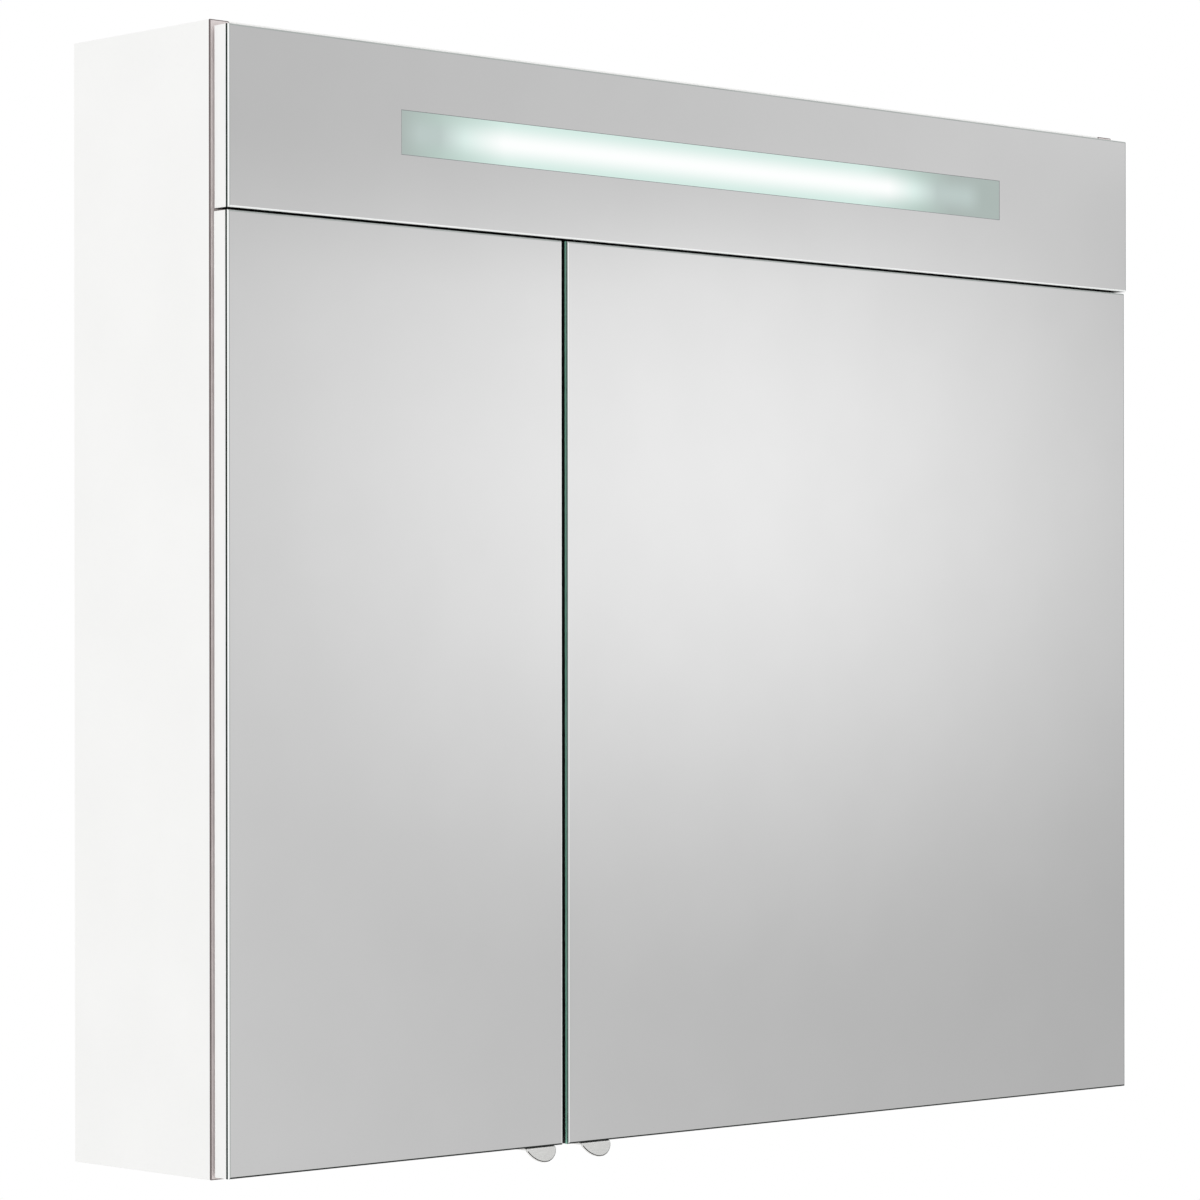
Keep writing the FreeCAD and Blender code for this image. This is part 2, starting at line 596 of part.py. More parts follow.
for name, way in (("left", -1), ("right", 1)):
    cap_low = TUBE_LEFT if way < 0 else f"{TUBE_RIGHT} - cap_length"
    hollow_low = f"{TUBE_LEFT} + cap_wall" if way < 0 else f"{TUBE_RIGHT} - cap_length - tool_past"
    contact_low = f"{TUBE_LEFT} - contact_length" if way < 0 else TUBE_RIGHT
    cap = cut(rod("x", "tube_diameter / 2 + cap_wall", "cap_length", cap_low, LAMP_Y, WINDOW),
              rod("x", "tube_diameter / 2", "cap_length - cap_wall + tool_past", hollow_low, LAMP_Y, WINDOW))
    contacts = [rod("x", "contact_radius", "contact_length", contact_low, LAMP_Y,
                    f"{WINDOW} + ({sign}) * contact_pitch / 2") for sign in (-1, 1)]
    node(f"tube_cap_{name}", fuse(cap, *contacts))

    holder_low = f"{TUBE_LEFT} - holder_length" if way < 0 else TUBE_RIGHT
    slots = [rod("x", "contact_radius", "contact_length", contact_low, LAMP_Y,
                 f"{WINDOW} + ({sign}) * contact_pitch / 2") for sign in (-1, 1)]
    holder = box(holder_low, f"{holder_low} + holder_length", f"{LAMP_Y} - holder_front",
                 f"{LAMP_Y} + reflector_reach", f"{WINDOW} - holder_width / 2",
                 f"{WINDOW} + holder_width / 2")
    node(f"lampholder_{name}", cut(holder, *slots))

WEB_Y = f"({LAMP_Y} + reflector_reach)"
LIP_Y = f"({LAMP_Y} - tube_diameter / 2)"


def reflector_sheet(y0, y1, z0, z1):
    """One flat of the bent reflector."""
    return box(f"{WINDOW_X} - reflector_length / 2", f"{WINDOW_X} + reflector_length / 2", y0, y1, z0, z1)


UPPER_LIP = f"({WINDOW} + reflector_rise)"
LOWER_LIP = f"({WINDOW} - reflector_rise)"
node("reflector", fuse(
    reflector_sheet(WEB_Y, f"{WEB_Y} + reflector_sheet", LAMP_FLOOR, UPPER_LIP),
    reflector_sheet(LIP_Y, WEB_Y, f"{UPPER_LIP} - reflector_sheet", UPPER_LIP),
    reflector_sheet(LIP_Y, WEB_Y, LOWER_LIP, f"{LOWER_LIP} + reflector_sheet"),
    reflector_sheet(WEB_Y, f"{WEB_Y} + reflector_foot", LAMP_FLOOR, f"{LAMP_FLOOR} + reflector_sheet")))

ballast_end = "(ballast_offset + ballast_length)"
node("ballast", fuse(
    box("ballast_offset", ballast_end, "-gear_setback - ballast_width / 2",
        "-gear_setback + ballast_width / 2", LAMP_FLOOR, f"{LAMP_FLOOR} + ballast_height"),
    box("ballast_offset - ballast_tab", f"{ballast_end} + ballast_tab",
        "-gear_setback - ballast_width / 4", "-gear_setback + ballast_width / 4",
        LAMP_FLOOR, f"{LAMP_FLOOR} + bracket_sheet")))
node("terminal_block", cut(
    box("terminal_offset", "terminal_offset + terminal_length", "-gear_setback - terminal_width / 2",
        "-gear_setback + terminal_width / 2", LAMP_FLOOR, f"{LAMP_FLOOR} + terminal_height"),
    *[rod("z", "screw_radius", "terminal_height / 2",
          f"terminal_offset + terminal_length * ({part}) / 6", "-gear_setback",
          f"{LAMP_FLOOR} + terminal_height / 2 + tool_past") for part in (1, 3, 5)]))

# ---- glass shelves and pegs ------------------------------------------------------------
for bay_name, bay in BAYS.items():
    for shelf_name, height in SHELVES.items():
        pane(f"shelf_{bay_name}_{shelf_name}", "XY_Plane",
             (f"{bay['low']} + shelf_play", f"{FRONT} + shelf_setback"),
             (f"{bay['high']} - shelf_play", f"{BACK_IN} - shelf_back_play"), height, "shelf_glass",
             "shelf_arris")
    node(f"shelf_pegs_{bay_name}", group(*pegs(bay)))


# ---- doors -----------------------------------------------------------------------------
def hinge_span(door, low, high):
    """A stretch along the door, counted from the hinge pin's axis into the door."""
    pin = pin_x(door)
    if door["way"] > 0:
        return f"{pin} + ({low})", f"{pin} + ({high})"
    return f"{pin} - ({high})", f"{pin} - ({low})"


def pin_x(door):
    """The hinge pin's axis."""
    sign = "+" if door["way"] > 0 else "-"
    return f"({door['outer']} {sign} pin_edge)"


CUP_MIDDLE = "(cup_edge + cup_radius - pin_edge)"


def cup_axis(door):
    """The middle of a door's hinge cups."""
    return hinge_span(door, CUP_MIDDLE, CUP_MIDDLE)[0]


def cup_screws(door, maker):
    """The two screws of each hinge cup; their heads sit in the flange, on the door's back."""
    return [maker("y", -1, cup_axis(door), DOOR_BACK, f"{height} + ({sign}) * cup_screw_half")
            for height in HINGES.values() for sign in (-1, 1)]


def cup(door, height):
    """A hinge cup let into the door's back, with a pocket for the arm."""
    low, high = hinge_span(door, f"{CUP_MIDDLE} - cup_flange_width / 2",
                           f"{CUP_MIDDLE} + cup_flange_width / 2")
    pocket_low, pocket_high = hinge_span(door, "-knuckle_radius - knuckle_play", "cup_pocket")
    body = fuse(
        rod("y", "cup_radius", "cup_depth", cup_axis(door), f"{DOOR_BACK} - cup_depth", height),
        box(low, high, DOOR_BACK, f"{DOOR_BACK} + cup_flange", f"{height} - cup_flange_half",
            f"{height} + cup_flange_half"))
    pocket = box(pocket_low, pocket_high, f"{PIN_Y} - knuckle_radius - knuckle_play",
                 f"{DOOR_BACK} + cup_flange + tool_past", f"{height} - arm_narrow / 2 - knuckle_play",
                 f"{height} + arm_narrow / 2 + knuckle_play")
    return cut(body, pocket, hinge_pin(door, height), *cup_screws(door, screw))


def hinge_pin(door, height, radius="pin_radius"):
    """The pin that the door turns on."""
    return rod("z", radius, "pin_half * 2", pin_x(door), PIN_Y, f"{height} - pin_half")


def arm_face(door):
    """From the pin to the face of the mounting plate, along the door."""
    return f"(board - {door['reveal']} - pin_edge + plate_sheet)"


def arm(door, height):
    """The fixed arm: an eye on the pin, a crank past the door's edge, a strap in the cabinet."""
    face = arm_face(door)
    bar = hinge_span(door, "0", f"{face} + arm_sheet")
    strap = hinge_span(door, face, f"{face} + arm_sheet")
    thin = (f"{height} - arm_narrow / 2", f"{height} + arm_narrow / 2")
    wide = (f"{height} - arm_wide / 2", f"{height} + arm_wide / 2")
    throat = "pin_depth + front_gap"
    body = fuse(
        rod("z", "knuckle_radius", "arm_narrow", pin_x(door), PIN_Y, thin[0]),
        box(*bar, f"{PIN_Y} - arm_sheet / 2", f"{PIN_Y} + arm_sheet / 2", *thin),
        box(*strap, f"{PIN_Y} - arm_sheet / 2", f"{PIN_Y} + {throat} + plate_setback", *thin),
        box(*strap, f"{PIN_Y} + {throat} + plate_setback / 2", f"{PIN_Y} + arm_reach", *wide))
    bore = hinge_pin(door, height, "pin_radius + pin_play")
    return cut(body, bore, arm_screw_hole(door, height))


ARM_SCREW_Y = f"({PIN_Y} + arm_reach - arm_wide / 2)"


def arm_screw_hole(door, height):
    """The hole through the arm and the plate for the clamping screw."""
    low = hinge_span(door, f"{arm_face(door)} - plate_sheet", f"{arm_face(door)} + arm_sheet")[0]
    return rod("x", "screw_radius", "plate_sheet + arm_sheet", low, ARM_SCREW_Y, height)


def arm_screw(door, height):
    """The clamping screw: a shank through arm and plate, with a broad head on the arm."""
    face = arm_face(door)
    head = hinge_span(door, f"{face} + arm_sheet", f"{face} + arm_sheet + screw_head_height")[0]
    return fuse(arm_screw_hole(door, height),
                rod("x", "screw_head", "screw_head_height", head, ARM_SCREW_Y, height))


def plate(door, height):
    """A mounting plate on the side board, with a wing above and below the arm."""
    span = hinge_span(door, f"{arm_face(door)} - plate_sheet", arm_face(door))
    front = f"{FRONT} + plate_setback"
    body = fuse(
        box(*span, front, f"{PIN_Y} + arm_reach", f"{height} - arm_wide / 2", f"{height} + arm_wide / 2"),
        box(*span, f"{FRONT} + plate_line - plate_wing_width / 2",
            f"{FRONT} + plate_line + plate_wing_width / 2",
            f"{height} - plate_wing_half", f"{height} + plate_wing_half"))
    return cut(body, arm_screw_hole(door, height), *plate_screw_holes(door))


def plate_screw_holes(door):
    """The holes through a plate for its two screws."""
    low = hinge_span(door, f"{arm_face(door)} - plate_sheet", arm_face(door))[0]
    return [rod("x", "screw_radius", "plate_sheet", low, row, height)
            for row, height in plate_screw_places(door)]


def plate_screws(door):
    """The screws that hold the plates to the side board."""
    face = hinge_span(door, arm_face(door), arm_face(door))[0]
    return [screw("x", -door["way"], face, row, height, "(screw_length + plate_sheet)")
            for row, height in plate_screw_places(door)]


PULL_HALF = "sqrt(pull_radius ^ 2 - (pull_radius - pull_drop) ^ 2)"


def pull_middle(door):
    """Middle of a door's finger pull."""
    sign = "-" if door["way"] > 0 else "+"
    return f"({door['inner']} {sign} ({door['pull_inset']} + {PULL_HALF}))"


def pull_screws(door):
    """The two screws that go up into the door's lower edge."""
    row = f"({GLASS_BACK} + front_board / 2)"
    return [rod("z", "pull_screw_radius", "pull_screw_length + pull_sheet",
                f"{pull_middle(door)} + ({sign}) * pull_screw_half", row, f"{DOOR_BASE} - pull_sheet")
            for sign in (-1, 1)]


def pull(door):
    """A finger pull: a flange under the door and a round leaf that leans out from the mirror's foot."""
    middle = pull_middle(door)
    leaf = doc.addObject("Part::Common", "leaf")
    disc = rod("y", "pull_radius", "pull_sheet", "0", "0", "pull_radius - pull_drop")
    below = box("-pull_radius", "pull_radius", "-tool_past", "pull_sheet + tool_past",
                "-pull_drop - tool_past", "0")
    leaf.Base, leaf.Tool = disc, below
    put(lean(leaf, "pull_tilt"), middle, GLASS_FRONT, DOOR_BASE)
    flange = box(f"{middle} - {PULL_HALF}", f"{middle} + {PULL_HALF}", GLASS_FRONT,
                 f"{DOOR_BACK} - pull_flange_end", f"{DOOR_BASE} - pull_sheet", DOOR_BASE)
    above = box(f"{middle} - pull_radius - tool_past", f"{middle} + pull_radius + tool_past",
                f"{GLASS_FRONT} - pull_radius", DOOR_BACK, DOOR_BASE, f"{DOOR_BASE} + pull_sheet * 2")
    return cut(fuse(flange, leaf), above, *pull_screws(door))


for name, door in DOORS.items():
    low, high = (door["outer"], door["inner"]) if door["way"] > 0 else (door["inner"], door["outer"])
    cup_holes = [rod("y", "cup_radius", "cup_depth", cup_axis(door), f"{DOOR_BACK} - cup_depth", height)
                 for height in HINGES.values()]
    node(f"door_{name}_board", cut(box(low, high, GLASS_BACK, DOOR_BACK, DOOR_BASE, DOOR_TOP),
                                   *cup_holes, *cup_screws(door, pilot), *pull_screws(door)))
    pane(f"door_{name}_mirror", "XZ_Plane", (low, DOOR_BASE), (high, DOOR_TOP), GLASS_BACK,
         "mirror_glass", "arris", front_only=True)
    node(f"door_{name}_pull", pull(door))
    node(f"door_{name}_pull_screws", group(*pull_screws(door)))
    for place, height in HINGES.items():
        node(f"hinge_{name}_{place}_cup", cup(door, height))
        node(f"hinge_{name}_{place}_arm", arm(door, height))
    node(f"hinge_{name}_pins", group(*[hinge_pin(door, height) for height in HINGES.values()]))
    node(f"hinge_{name}_plates", group(*[plate(door, height) for height in HINGES.values()]))
    node(f"hinge_{name}_cup_screws", group(*cup_screws(door, screw)))
    node(f"hinge_{name}_plate_screws", group(
        *plate_screws(door), *[arm_screw(door, height) for height in HINGES.values()]))

BUMPER_HEIGHTS = (f"({BASE} + board / 2)", f"({SEAM} - board / 4)")
node("bumpers", group(*[
    rod("y", "bumper_radius", "bumper_height", f"{SPLIT} + ({sign}) * bumper_offset",
        f"{FRONT} - bumper_height", height) for sign in (-1, 1) for height in BUMPER_HEIGHTS]))

# ---- switch and socket unit ------------------------------------------------------------
UNIT_HIGH = f"({IN_RIGHT} - unit_side)"
UNIT_LOW = f"({UNIT_HIGH} - unit_width)"
UNIT_FACE = f"({FRONT} + unit_setback)"
UNIT_MIDDLE = f"({BAY_TOP} - unit_height / 2)"
SOCKET_X = f"({UNIT_LOW} + socket_place)"
ROCKER_X = f"({UNIT_HIGH} - rocker_place)"
ROCKER_Y = f"({UNIT_FACE} + rocker_sunk)"


def axle(reach):
    """The rocker's axle, a given length past the rocker's hole at each end."""
    half = f"(rocker_width / 2 + rocker_play + {reach})"
    return rod("x", "axle_radius", f"{half} * 2", f"{ROCKER_X} - {half}", ROCKER_Y, UNIT_MIDDLE)


node("switch_unit", cut(
    box(UNIT_LOW, UNIT_HIGH, UNIT_FACE, f"{UNIT_FACE} + unit_depth", f"{BAY_TOP} - unit_height", BAY_TOP),
    rod("y", "socket_radius", "socket_length + tool_past", SOCKET_X, f"{UNIT_FACE} - tool_past",
        UNIT_MIDDLE),
    box(f"{ROCKER_X} - rocker_width / 2 - rocker_play", f"{ROCKER_X} + rocker_width / 2 + rocker_play",
        f"{UNIT_FACE} - tool_past", f"{ROCKER_Y} + rocker_rear + rocker_room",
        f"{UNIT_MIDDLE} - rocker_radius - rocker_play", f"{UNIT_MIDDLE} + rocker_radius + rocker_play"),
    axle("axle_end")))
socket_floor = f"({UNIT_FACE} + socket_recess_depth)"
node("socket_insert", cut(
    rod("y", "socket_radius", "socket_length", SOCKET_X, UNIT_FACE, UNIT_MIDDLE),
    rod("y", "socket_recess", "socket_recess_depth + tool_past", SOCKET_X, f"{UNIT_FACE} - tool_past",
        UNIT_MIDDLE),
    *[rod("y", "socket_hole_radius", "socket_length", f"{SOCKET_X} + ({sign}) * socket_hole_half",
          f"{socket_floor} - tool_past", UNIT_MIDDLE) for sign in (-1, 1)]))
node("earth_springs", group(*[
    box(f"{SOCKET_X} - earth_width / 2", f"{SOCKET_X} + earth_width / 2",
        f"{UNIT_FACE} + earth_setback", socket_floor, low, high)
    for low, high in (
        (f"{UNIT_MIDDLE} - socket_recess + earth_sheet", f"{UNIT_MIDDLE} - socket_recess + earth_sheet * 2"),
        (f"{UNIT_MIDDLE} + socket_recess - earth_sheet * 2",
         f"{UNIT_MIDDLE} + socket_recess - earth_sheet"))]))

drum = rod("x", "rocker_radius", "rocker_width", "-rocker_width / 2", "0", "0")
slab = box("-rocker_width / 2", "rocker_width / 2", "-rocker_front", "rocker_rear",
           "-rocker_radius - tool_past", "rocker_radius + tool_past")
rocker = doc.addObject("Part::Common", "rocker")
rocker.Base, rocker.Tool = drum, slab
eye = rod("x", "axle_radius + pin_play", "rocker_width + tool_past * 2",
          "-rocker_width / 2 - tool_past", "0", "0")
rocker = lean(cut(rocker, eye), "rocker_tilt")
node("switch_rocker", put(rocker, ROCKER_X, ROCKER_Y, UNIT_MIDDLE))
node("rocker_axle", axle("axle_end"))

# ---- build, check and write ------------------------------------------------------------
doc.recompute()
os.makedirs("parts", exist_ok=True)
faults = [f"{piece.Label}: {piece.State}" for piece in doc.Objects
          if "Invalid" in piece.State or "Error" in piece.State]
for piece in NODES:
    if piece.Shape.isNull() or not piece.Shape.isValid() or not piece.Shape.Solids:
        faults.append(f"{piece.Label}: no valid solid")
if faults:
    raise RuntimeError("; ".join(faults))
for piece in NODES:
    piece.Shape.exportStep(f"parts/{piece.Label}.step")
    reach = piece.Shape.BoundBox
    print(f"{piece.Label:28s} solids {len(piece.Shape.Solids):2d}  "
          f"x {reach.XMin:8.2f} {reach.XMax:8.2f}  y {reach.YMin:8.2f} {reach.YMax:8.2f}  "
          f"z {reach.ZMin:8.2f} {reach.ZMax:8.2f}")
print(f"{len(NODES)} sub-parts")
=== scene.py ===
# %% [markdown]
# # A lit mirror cabinet, piece by piece
# The cabinet's boards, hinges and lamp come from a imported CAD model, the frame.  This lesson gives
# every piece its finish, and remakes in finer mesh those whose edges catch the light.
# Everything is in metres: X to the right, the front faces -Y, Z up, and the wall is y = 0.

# %% Load the frame
import json
import math

import bmesh
import bpy
from mathutils import Matrix, Vector


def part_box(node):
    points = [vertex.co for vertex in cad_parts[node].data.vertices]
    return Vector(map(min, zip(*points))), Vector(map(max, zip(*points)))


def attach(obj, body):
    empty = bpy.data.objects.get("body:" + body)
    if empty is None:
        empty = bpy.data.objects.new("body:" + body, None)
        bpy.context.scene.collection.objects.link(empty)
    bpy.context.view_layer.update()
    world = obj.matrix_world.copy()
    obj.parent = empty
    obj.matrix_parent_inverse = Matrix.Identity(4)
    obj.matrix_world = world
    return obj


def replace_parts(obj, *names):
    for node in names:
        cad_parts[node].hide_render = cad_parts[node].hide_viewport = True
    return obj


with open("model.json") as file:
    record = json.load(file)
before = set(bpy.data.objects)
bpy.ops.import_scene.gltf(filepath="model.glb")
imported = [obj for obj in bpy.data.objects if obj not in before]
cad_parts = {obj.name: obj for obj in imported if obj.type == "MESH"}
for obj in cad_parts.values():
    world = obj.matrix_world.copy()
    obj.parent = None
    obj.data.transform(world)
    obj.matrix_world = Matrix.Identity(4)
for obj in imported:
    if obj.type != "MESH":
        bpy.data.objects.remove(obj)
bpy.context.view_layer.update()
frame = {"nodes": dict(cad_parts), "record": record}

MM = 0.001
NODES = frame["nodes"]
BODY_OF = {node: body for body, nodes in frame["record"]["behaviour"]["bodies"].items()
           for node in nodes}
SLOT_OF = {part["node"]: part["material_slot"] for part in frame["record"]["subparts"]}

# %% [markdown]
# ## Camera
# The cabinet is seen from the left at eye height, through a long lens, so its lines hardly converge.
# The camera stays level and its picture is shifted up a little, as a product photographer's is.

# %% Place the camera; angles are in radians, the lens and the sensor in millimetres
YAW = 0.7564
ROLL = -0.0010
EYE = Vector((-2.1427, -2.3063, -0.0482))
LENS = 127.34
SENSOR = 36
RISE = 0.0617
FARTHEST = 60

ahead = Vector((math.sin(YAW), math.cos(YAW), 0))
level_right = Vector((math.cos(YAW), -math.sin(YAW), 0))
right = level_right * math.cos(ROLL) + Vector((0, 0, 1)) * math.sin(ROLL)
up = Vector((0, 0, 1)) * math.cos(ROLL) - level_right * math.sin(ROLL)
camera = bpy.data.objects.new("camera", bpy.data.cameras.new("camera"))
bpy.context.scene.collection.objects.link(camera)
camera.matrix_world = Matrix.Translation(EYE) @ Matrix((right, up, -ahead)).transposed().to_4x4()
camera.data.sensor_width = SENSOR
camera.data.lens = LENS
camera.data.shift_y = RISE
camera.data.clip_end = FARTHEST
bpy.context.scene.camera = camera
bpy.context.scene.view_settings.view_transform = "Standard"
print("camera at", [round(value, 3) for value in EYE], "lens", LENS, "mm")

# %% [markdown]
# ## Colours and nodes
# Colours are written as the hex values a paint chart gives, and one function turns them into the
# linear light that shaders add up.  One more function adds a node with its settings and links.
# A surface is never quite one colour: its tone and its gloss drift over some centimetres, and its
# skin has a fine relief.  The last helper builds that for every finish from sizes in millimetres.


# %% Helpers for every material
def colour(code):
    """An sRGB hex colour as linear light."""
    parts = [int(code[place:place + 2], 16) / 255 for place in (1, 3, 5)]
    linear = [part / 12.92 if part <= 0.04045 else ((part + 0.055) / 1.055) ** 2.4 for part in parts]
    return linear + [1]


def add(tree, kind, settings=None, **links):
    """Add a node; settings name its properties or sockets, links feed its sockets."""
    node = tree.nodes.new(kind)
    for name, value in (settings or {}).items():
        if name in node.inputs:
            node.inputs[name].default_value = value
        else:
            setattr(node, name, value)
    for name, source in links.items():
        tree.links.new(source, node.inputs[name.replace("_", " ")])
    return node


MATERIALS = {}
TONE_STOPS = (0.3, 0.7)


def material(name, **settings):
    """A new material's node tree and its Principled shader; settings are the shader's own constants."""
    made = bpy.data.materials.new(name)
    made.use_nodes = True
    shader = made.node_tree.nodes["Principled BSDF"]
    for socket, value in settings.items():
        shader.inputs[socket.replace("_", " ")].default_value = value
    MATERIALS[name] = made
    return made.node_tree, shader


def finish(name, dark, light, cell_mm, gloss, grain_mm=None, depth_mm=0.01, stretch=(1, 1, 1),
           detail=2.0, **settings):
    """A whole material: a tone and a gloss that drift over cells of a real size, and a fine relief.

    The pattern lives in the piece's own coordinates; stretch lengthens its cells along an axis.
    """
    tree, shader = material(name, **settings)
    place = add(tree, "ShaderNodeTexCoord").outputs["Object"]
    cells = add(tree, "ShaderNodeMapping", {"Scale": [1 / value for value in stretch]}, Vector=place)
    drift = add(tree, "ShaderNodeTexNoise", {"Scale": 1 / (cell_mm * MM), "Detail": detail},
                Vector=cells.outputs["Vector"])
    tone = add(tree, "ShaderNodeValToRGB", None, Fac=drift.outputs["Fac"])
    for stop, code, position in zip(tone.color_ramp.elements, (dark, light), TONE_STOPS):
        stop.color = colour(code)
        stop.position = position
    tree.links.new(tone.outputs["Color"], shader.inputs["Base Color"])
    rough = add(tree, "ShaderNodeMapRange", {"To Min": gloss[0], "To Max": gloss[1]},
                Value=drift.outputs["Fac"])
    tree.links.new(rough.outputs["Result"], shader.inputs["Roughness"])
    if grain_mm:
        grain = add(tree, "ShaderNodeTexNoise", {"Scale": 1 / (grain_mm * MM), "Detail": detail},
                    Vector=cells.outputs["Vector"])
        relief = add(tree, "ShaderNodeBump", {"Distance": depth_mm * MM}, Height=grain.outputs["Fac"])
        tree.links.new(relief.outputs["Normal"], shader.inputs["Normal"])


print("helpers ready")

# %% [markdown]
# ## Painted and moulded whites
# The boards are fibreboard sprayed with white polyurethane lacquer and left as it flows, which gives
# a satin skin with a faint orange peel, cells of 3 mm and a few hundredths of a millimetre deep.
# Plastic and powder coat are whites too, but each has its own grain.

# %% White satin lacquer on fibreboard, drying in cells of 9 cm, with an orange peel of 3 mm
finish("satin_lacquer_sprayed", "#f5f5f4", "#f8f8f7", 90, (0.28, 0.38), 3.0, 0.02, IOR=1.5,
       Coat_Weight=0.15, Coat_Roughness=0.2)

# %% Edge band: a plastic strip glued along the boards' front edges; its front is painted shade, its corner a darker painted shadow, and the black band is painted shade for the gaps
# Pink grey painted shade for the band's front, and a darker painted shadow line for its corner
finish("abs_edge_band_painted_shade", "#d9cfce", "#e3dad9", 20, (0.38, 0.46), 0.8, IOR=1.5)
finish("abs_edge_band_painted_corner_shadow", "#5e5252", "#6b5f5f", 15, (0.5, 0.6), 0.5, 0.02, IOR=1.5)
# Black: painted shade for the edges in the gaps between the fronts
finish("edge_band_painted_gap_shadow", "#0b0b0b", "#121212", 15, (0.6, 0.7), 0.5, 0.02, IOR=1.5)

# %% Hardboard back, painted one coat so that its fibres of about a millimetre still show
finish("hardboard_painted", "#ebebe8", "#f3f3f1", 6, (0.5, 0.6), 1.2, 0.05, detail=7.0, IOR=1.48)

# %% Moulded white plastic with a spark-eroded grain of half a millimetre
finish("white_plastic_moulded", "#efefec", "#f5f5f3", 25, (0.34, 0.42), 0.5, 0.015, IOR=1.49)

# %% White powder coat on bent sheet, a coarser orange peel than lacquer's
finish("sheet_steel_powder_coated", "#eff0ee", "#f7f7f5", 30, (0.36, 0.46), 1.4, 0.03, IOR=1.5)
print("whites:", len(MATERIALS))

# %% [markdown]
# ## Metals
# Finger pulls are stamped stainless steel, satin ground: fine lines 6 mm long run across the leaf.
# The rim's edge is painted bright where it faces the light, a painted highlight, and its rounded corners
# dark, painted shade.
# Hinges are nickel plated, screws and plates zinc plated, and the tube's caps are drawn aluminium,
# whose die lines run along the tube.  Metals keep the shader's own IOR.

# %% Metals
finish("stainless_steel_satin_ground", "#dededc", "#e8e8e6", 0.35, (0.3, 0.42), 0.35, 0.006, (18, 1, 1),
       Metallic=1.0)
# Painted highlight for the pull's rim edge, and painted shade for its rounded corners
finish("stainless_steel_rim_painted_highlight", "#f1f0ee", "#fbfaf8", 0.5, (0.3, 0.4), 0.4, 0.01, Metallic=1.0)
finish("stainless_steel_rim_painted_shade", "#1e1e1d", "#2a2a29", 0.5, (0.3, 0.4), 0.4, 0.01, Metallic=1.0)
finish("nickel_plated_steel", "#c3c0b8", "#d3d0c9", 4, (0.16, 0.26), 1.0, 0.004, Metallic=1.0)
finish("zinc_plated_steel", "#b4b9bd", "#cdd1d4", 1.5, (0.25, 0.4), 0.8, 0.008, Metallic=1.0)
finish("aluminium_drawn", "#c4c5c6", "#dcdddd", 0.6, (0.2, 0.32), 0.6, 0.006, (6, 1, 1), Metallic=1.0)
print("materials so far:", len(MATERIALS))

# %% [markdown]
# ## Glass
# A mirror is float glass silvered on its back.  Its flat edges are ground and look dark green, because
# one looks along the sheet.  Round the front runs a narrow polished slope, the arris, whose facets are
# given painted light: a painted highlight where they face the room, painted grey or dark shade where
# they face the ceiling or a neighbour, and painted dark shade along the foot of each door.
# The lit window is the same sheet with no silver, etched to a satin skin, with the tube's glow painted on it
# as light of its own.

# %% Silvered float glass; the finger marks and dust of use only move its gloss by a hair
finish("float_glass_silvered", "#ebebeb", "#ededed", 60, (0.015, 0.04), Metallic=1.0)

# %% Ground edge of the sheet: the iron tint of the glass, in streaks 8 cm long up the edge, darkened
# to near black as painted shade.  Where a neighbour's mirror throws light on to it, the same edge is
# painted a bright teal instead, as painted light.
finish("float_glass_edge_ground_painted_shade", "#02110c", "#06231a", 14, (0.3, 0.4), 0.3, 0.01, (1, 1, 6), IOR=1.52,
       Specular_IOR_Level=0.1)
finish("float_glass_edge_painted_light", "#86c9b0", "#9bd6c0", 14, (0.3, 0.4), 0.3, 0.01, (1, 1, 6), IOR=1.52,
       Specular_IOR_Level=0.3)

# %% The arris: clear glass over silver, its facets given a painted highlight where they face the light and painted grey or dark shade where they do not
finish("float_glass_arris_painted_highlight", "#f8fbfa", "#fdfefe", 30, (0.2, 0.28), None, 0, (1, 1, 8), IOR=1.52)
finish("float_glass_arris_painted_grey_shade", "#a4a9a7", "#b0b5b3", 30, (0.3, 0.4), None, 0, (1, 1, 8), IOR=1.52,
       Specular_IOR_Level=0.1)
finish("float_glass_arris_painted_dark_shade", "#1c201f", "#292d2c", 30, (0.3, 0.4), None, 0, (8, 1, 1), IOR=1.52,
       Specular_IOR_Level=0.1)

# %% Grey paint rolled over the silver on the back of each mirror
finish("mirror_backing_paint", "#6d7073", "#787b7e", 12, (0.55, 0.65), 1.0, 0.02)

# %% Clear float glass of the shelves, and its green polished edge
finish("float_glass_clear", "#f2faf7", "#f7fdfb", 200, (0.0, 0.02), IOR=1.52, Transmission_Weight=1.0)
finish("shelf_edge_polished", "#7fb5a4", "#9ccbbd", 40, (0.1, 0.14), None, 0, (6, 6, 1), IOR=1.52,
       Transmission_Weight=0.35)

# %% Soft clear bumpers, black rubber, and beech dowels with fibres 10 mm long
finish("polyurethane_bumper_cast", "#dcdedb", "#e9eae8", 3, (0.26, 0.34), IOR=1.5,
       Transmission_Weight=0.5)
finish("rubber_moulded", "#141414", "#1f1f1f", 2, (0.55, 0.65), 0.6, 0.03)
finish("beech_turned", "#b98c5c", "#d2ab7c", 1.2, (0.45, 0.55), 0.5, 0.05, (8, 1, 1), detail=4.0)

# %% The lit tube: phosphor powder behind glass, in clouds of 5 mm
finish("fluorescent_tube_lit", "#eef2ef", "#fafcfa", 5, (0.22, 0.28), Emission_Strength=2.2,
       Emission_Color=colour("#f4fff9"))
print("glass and the rest:", len(MATERIALS))
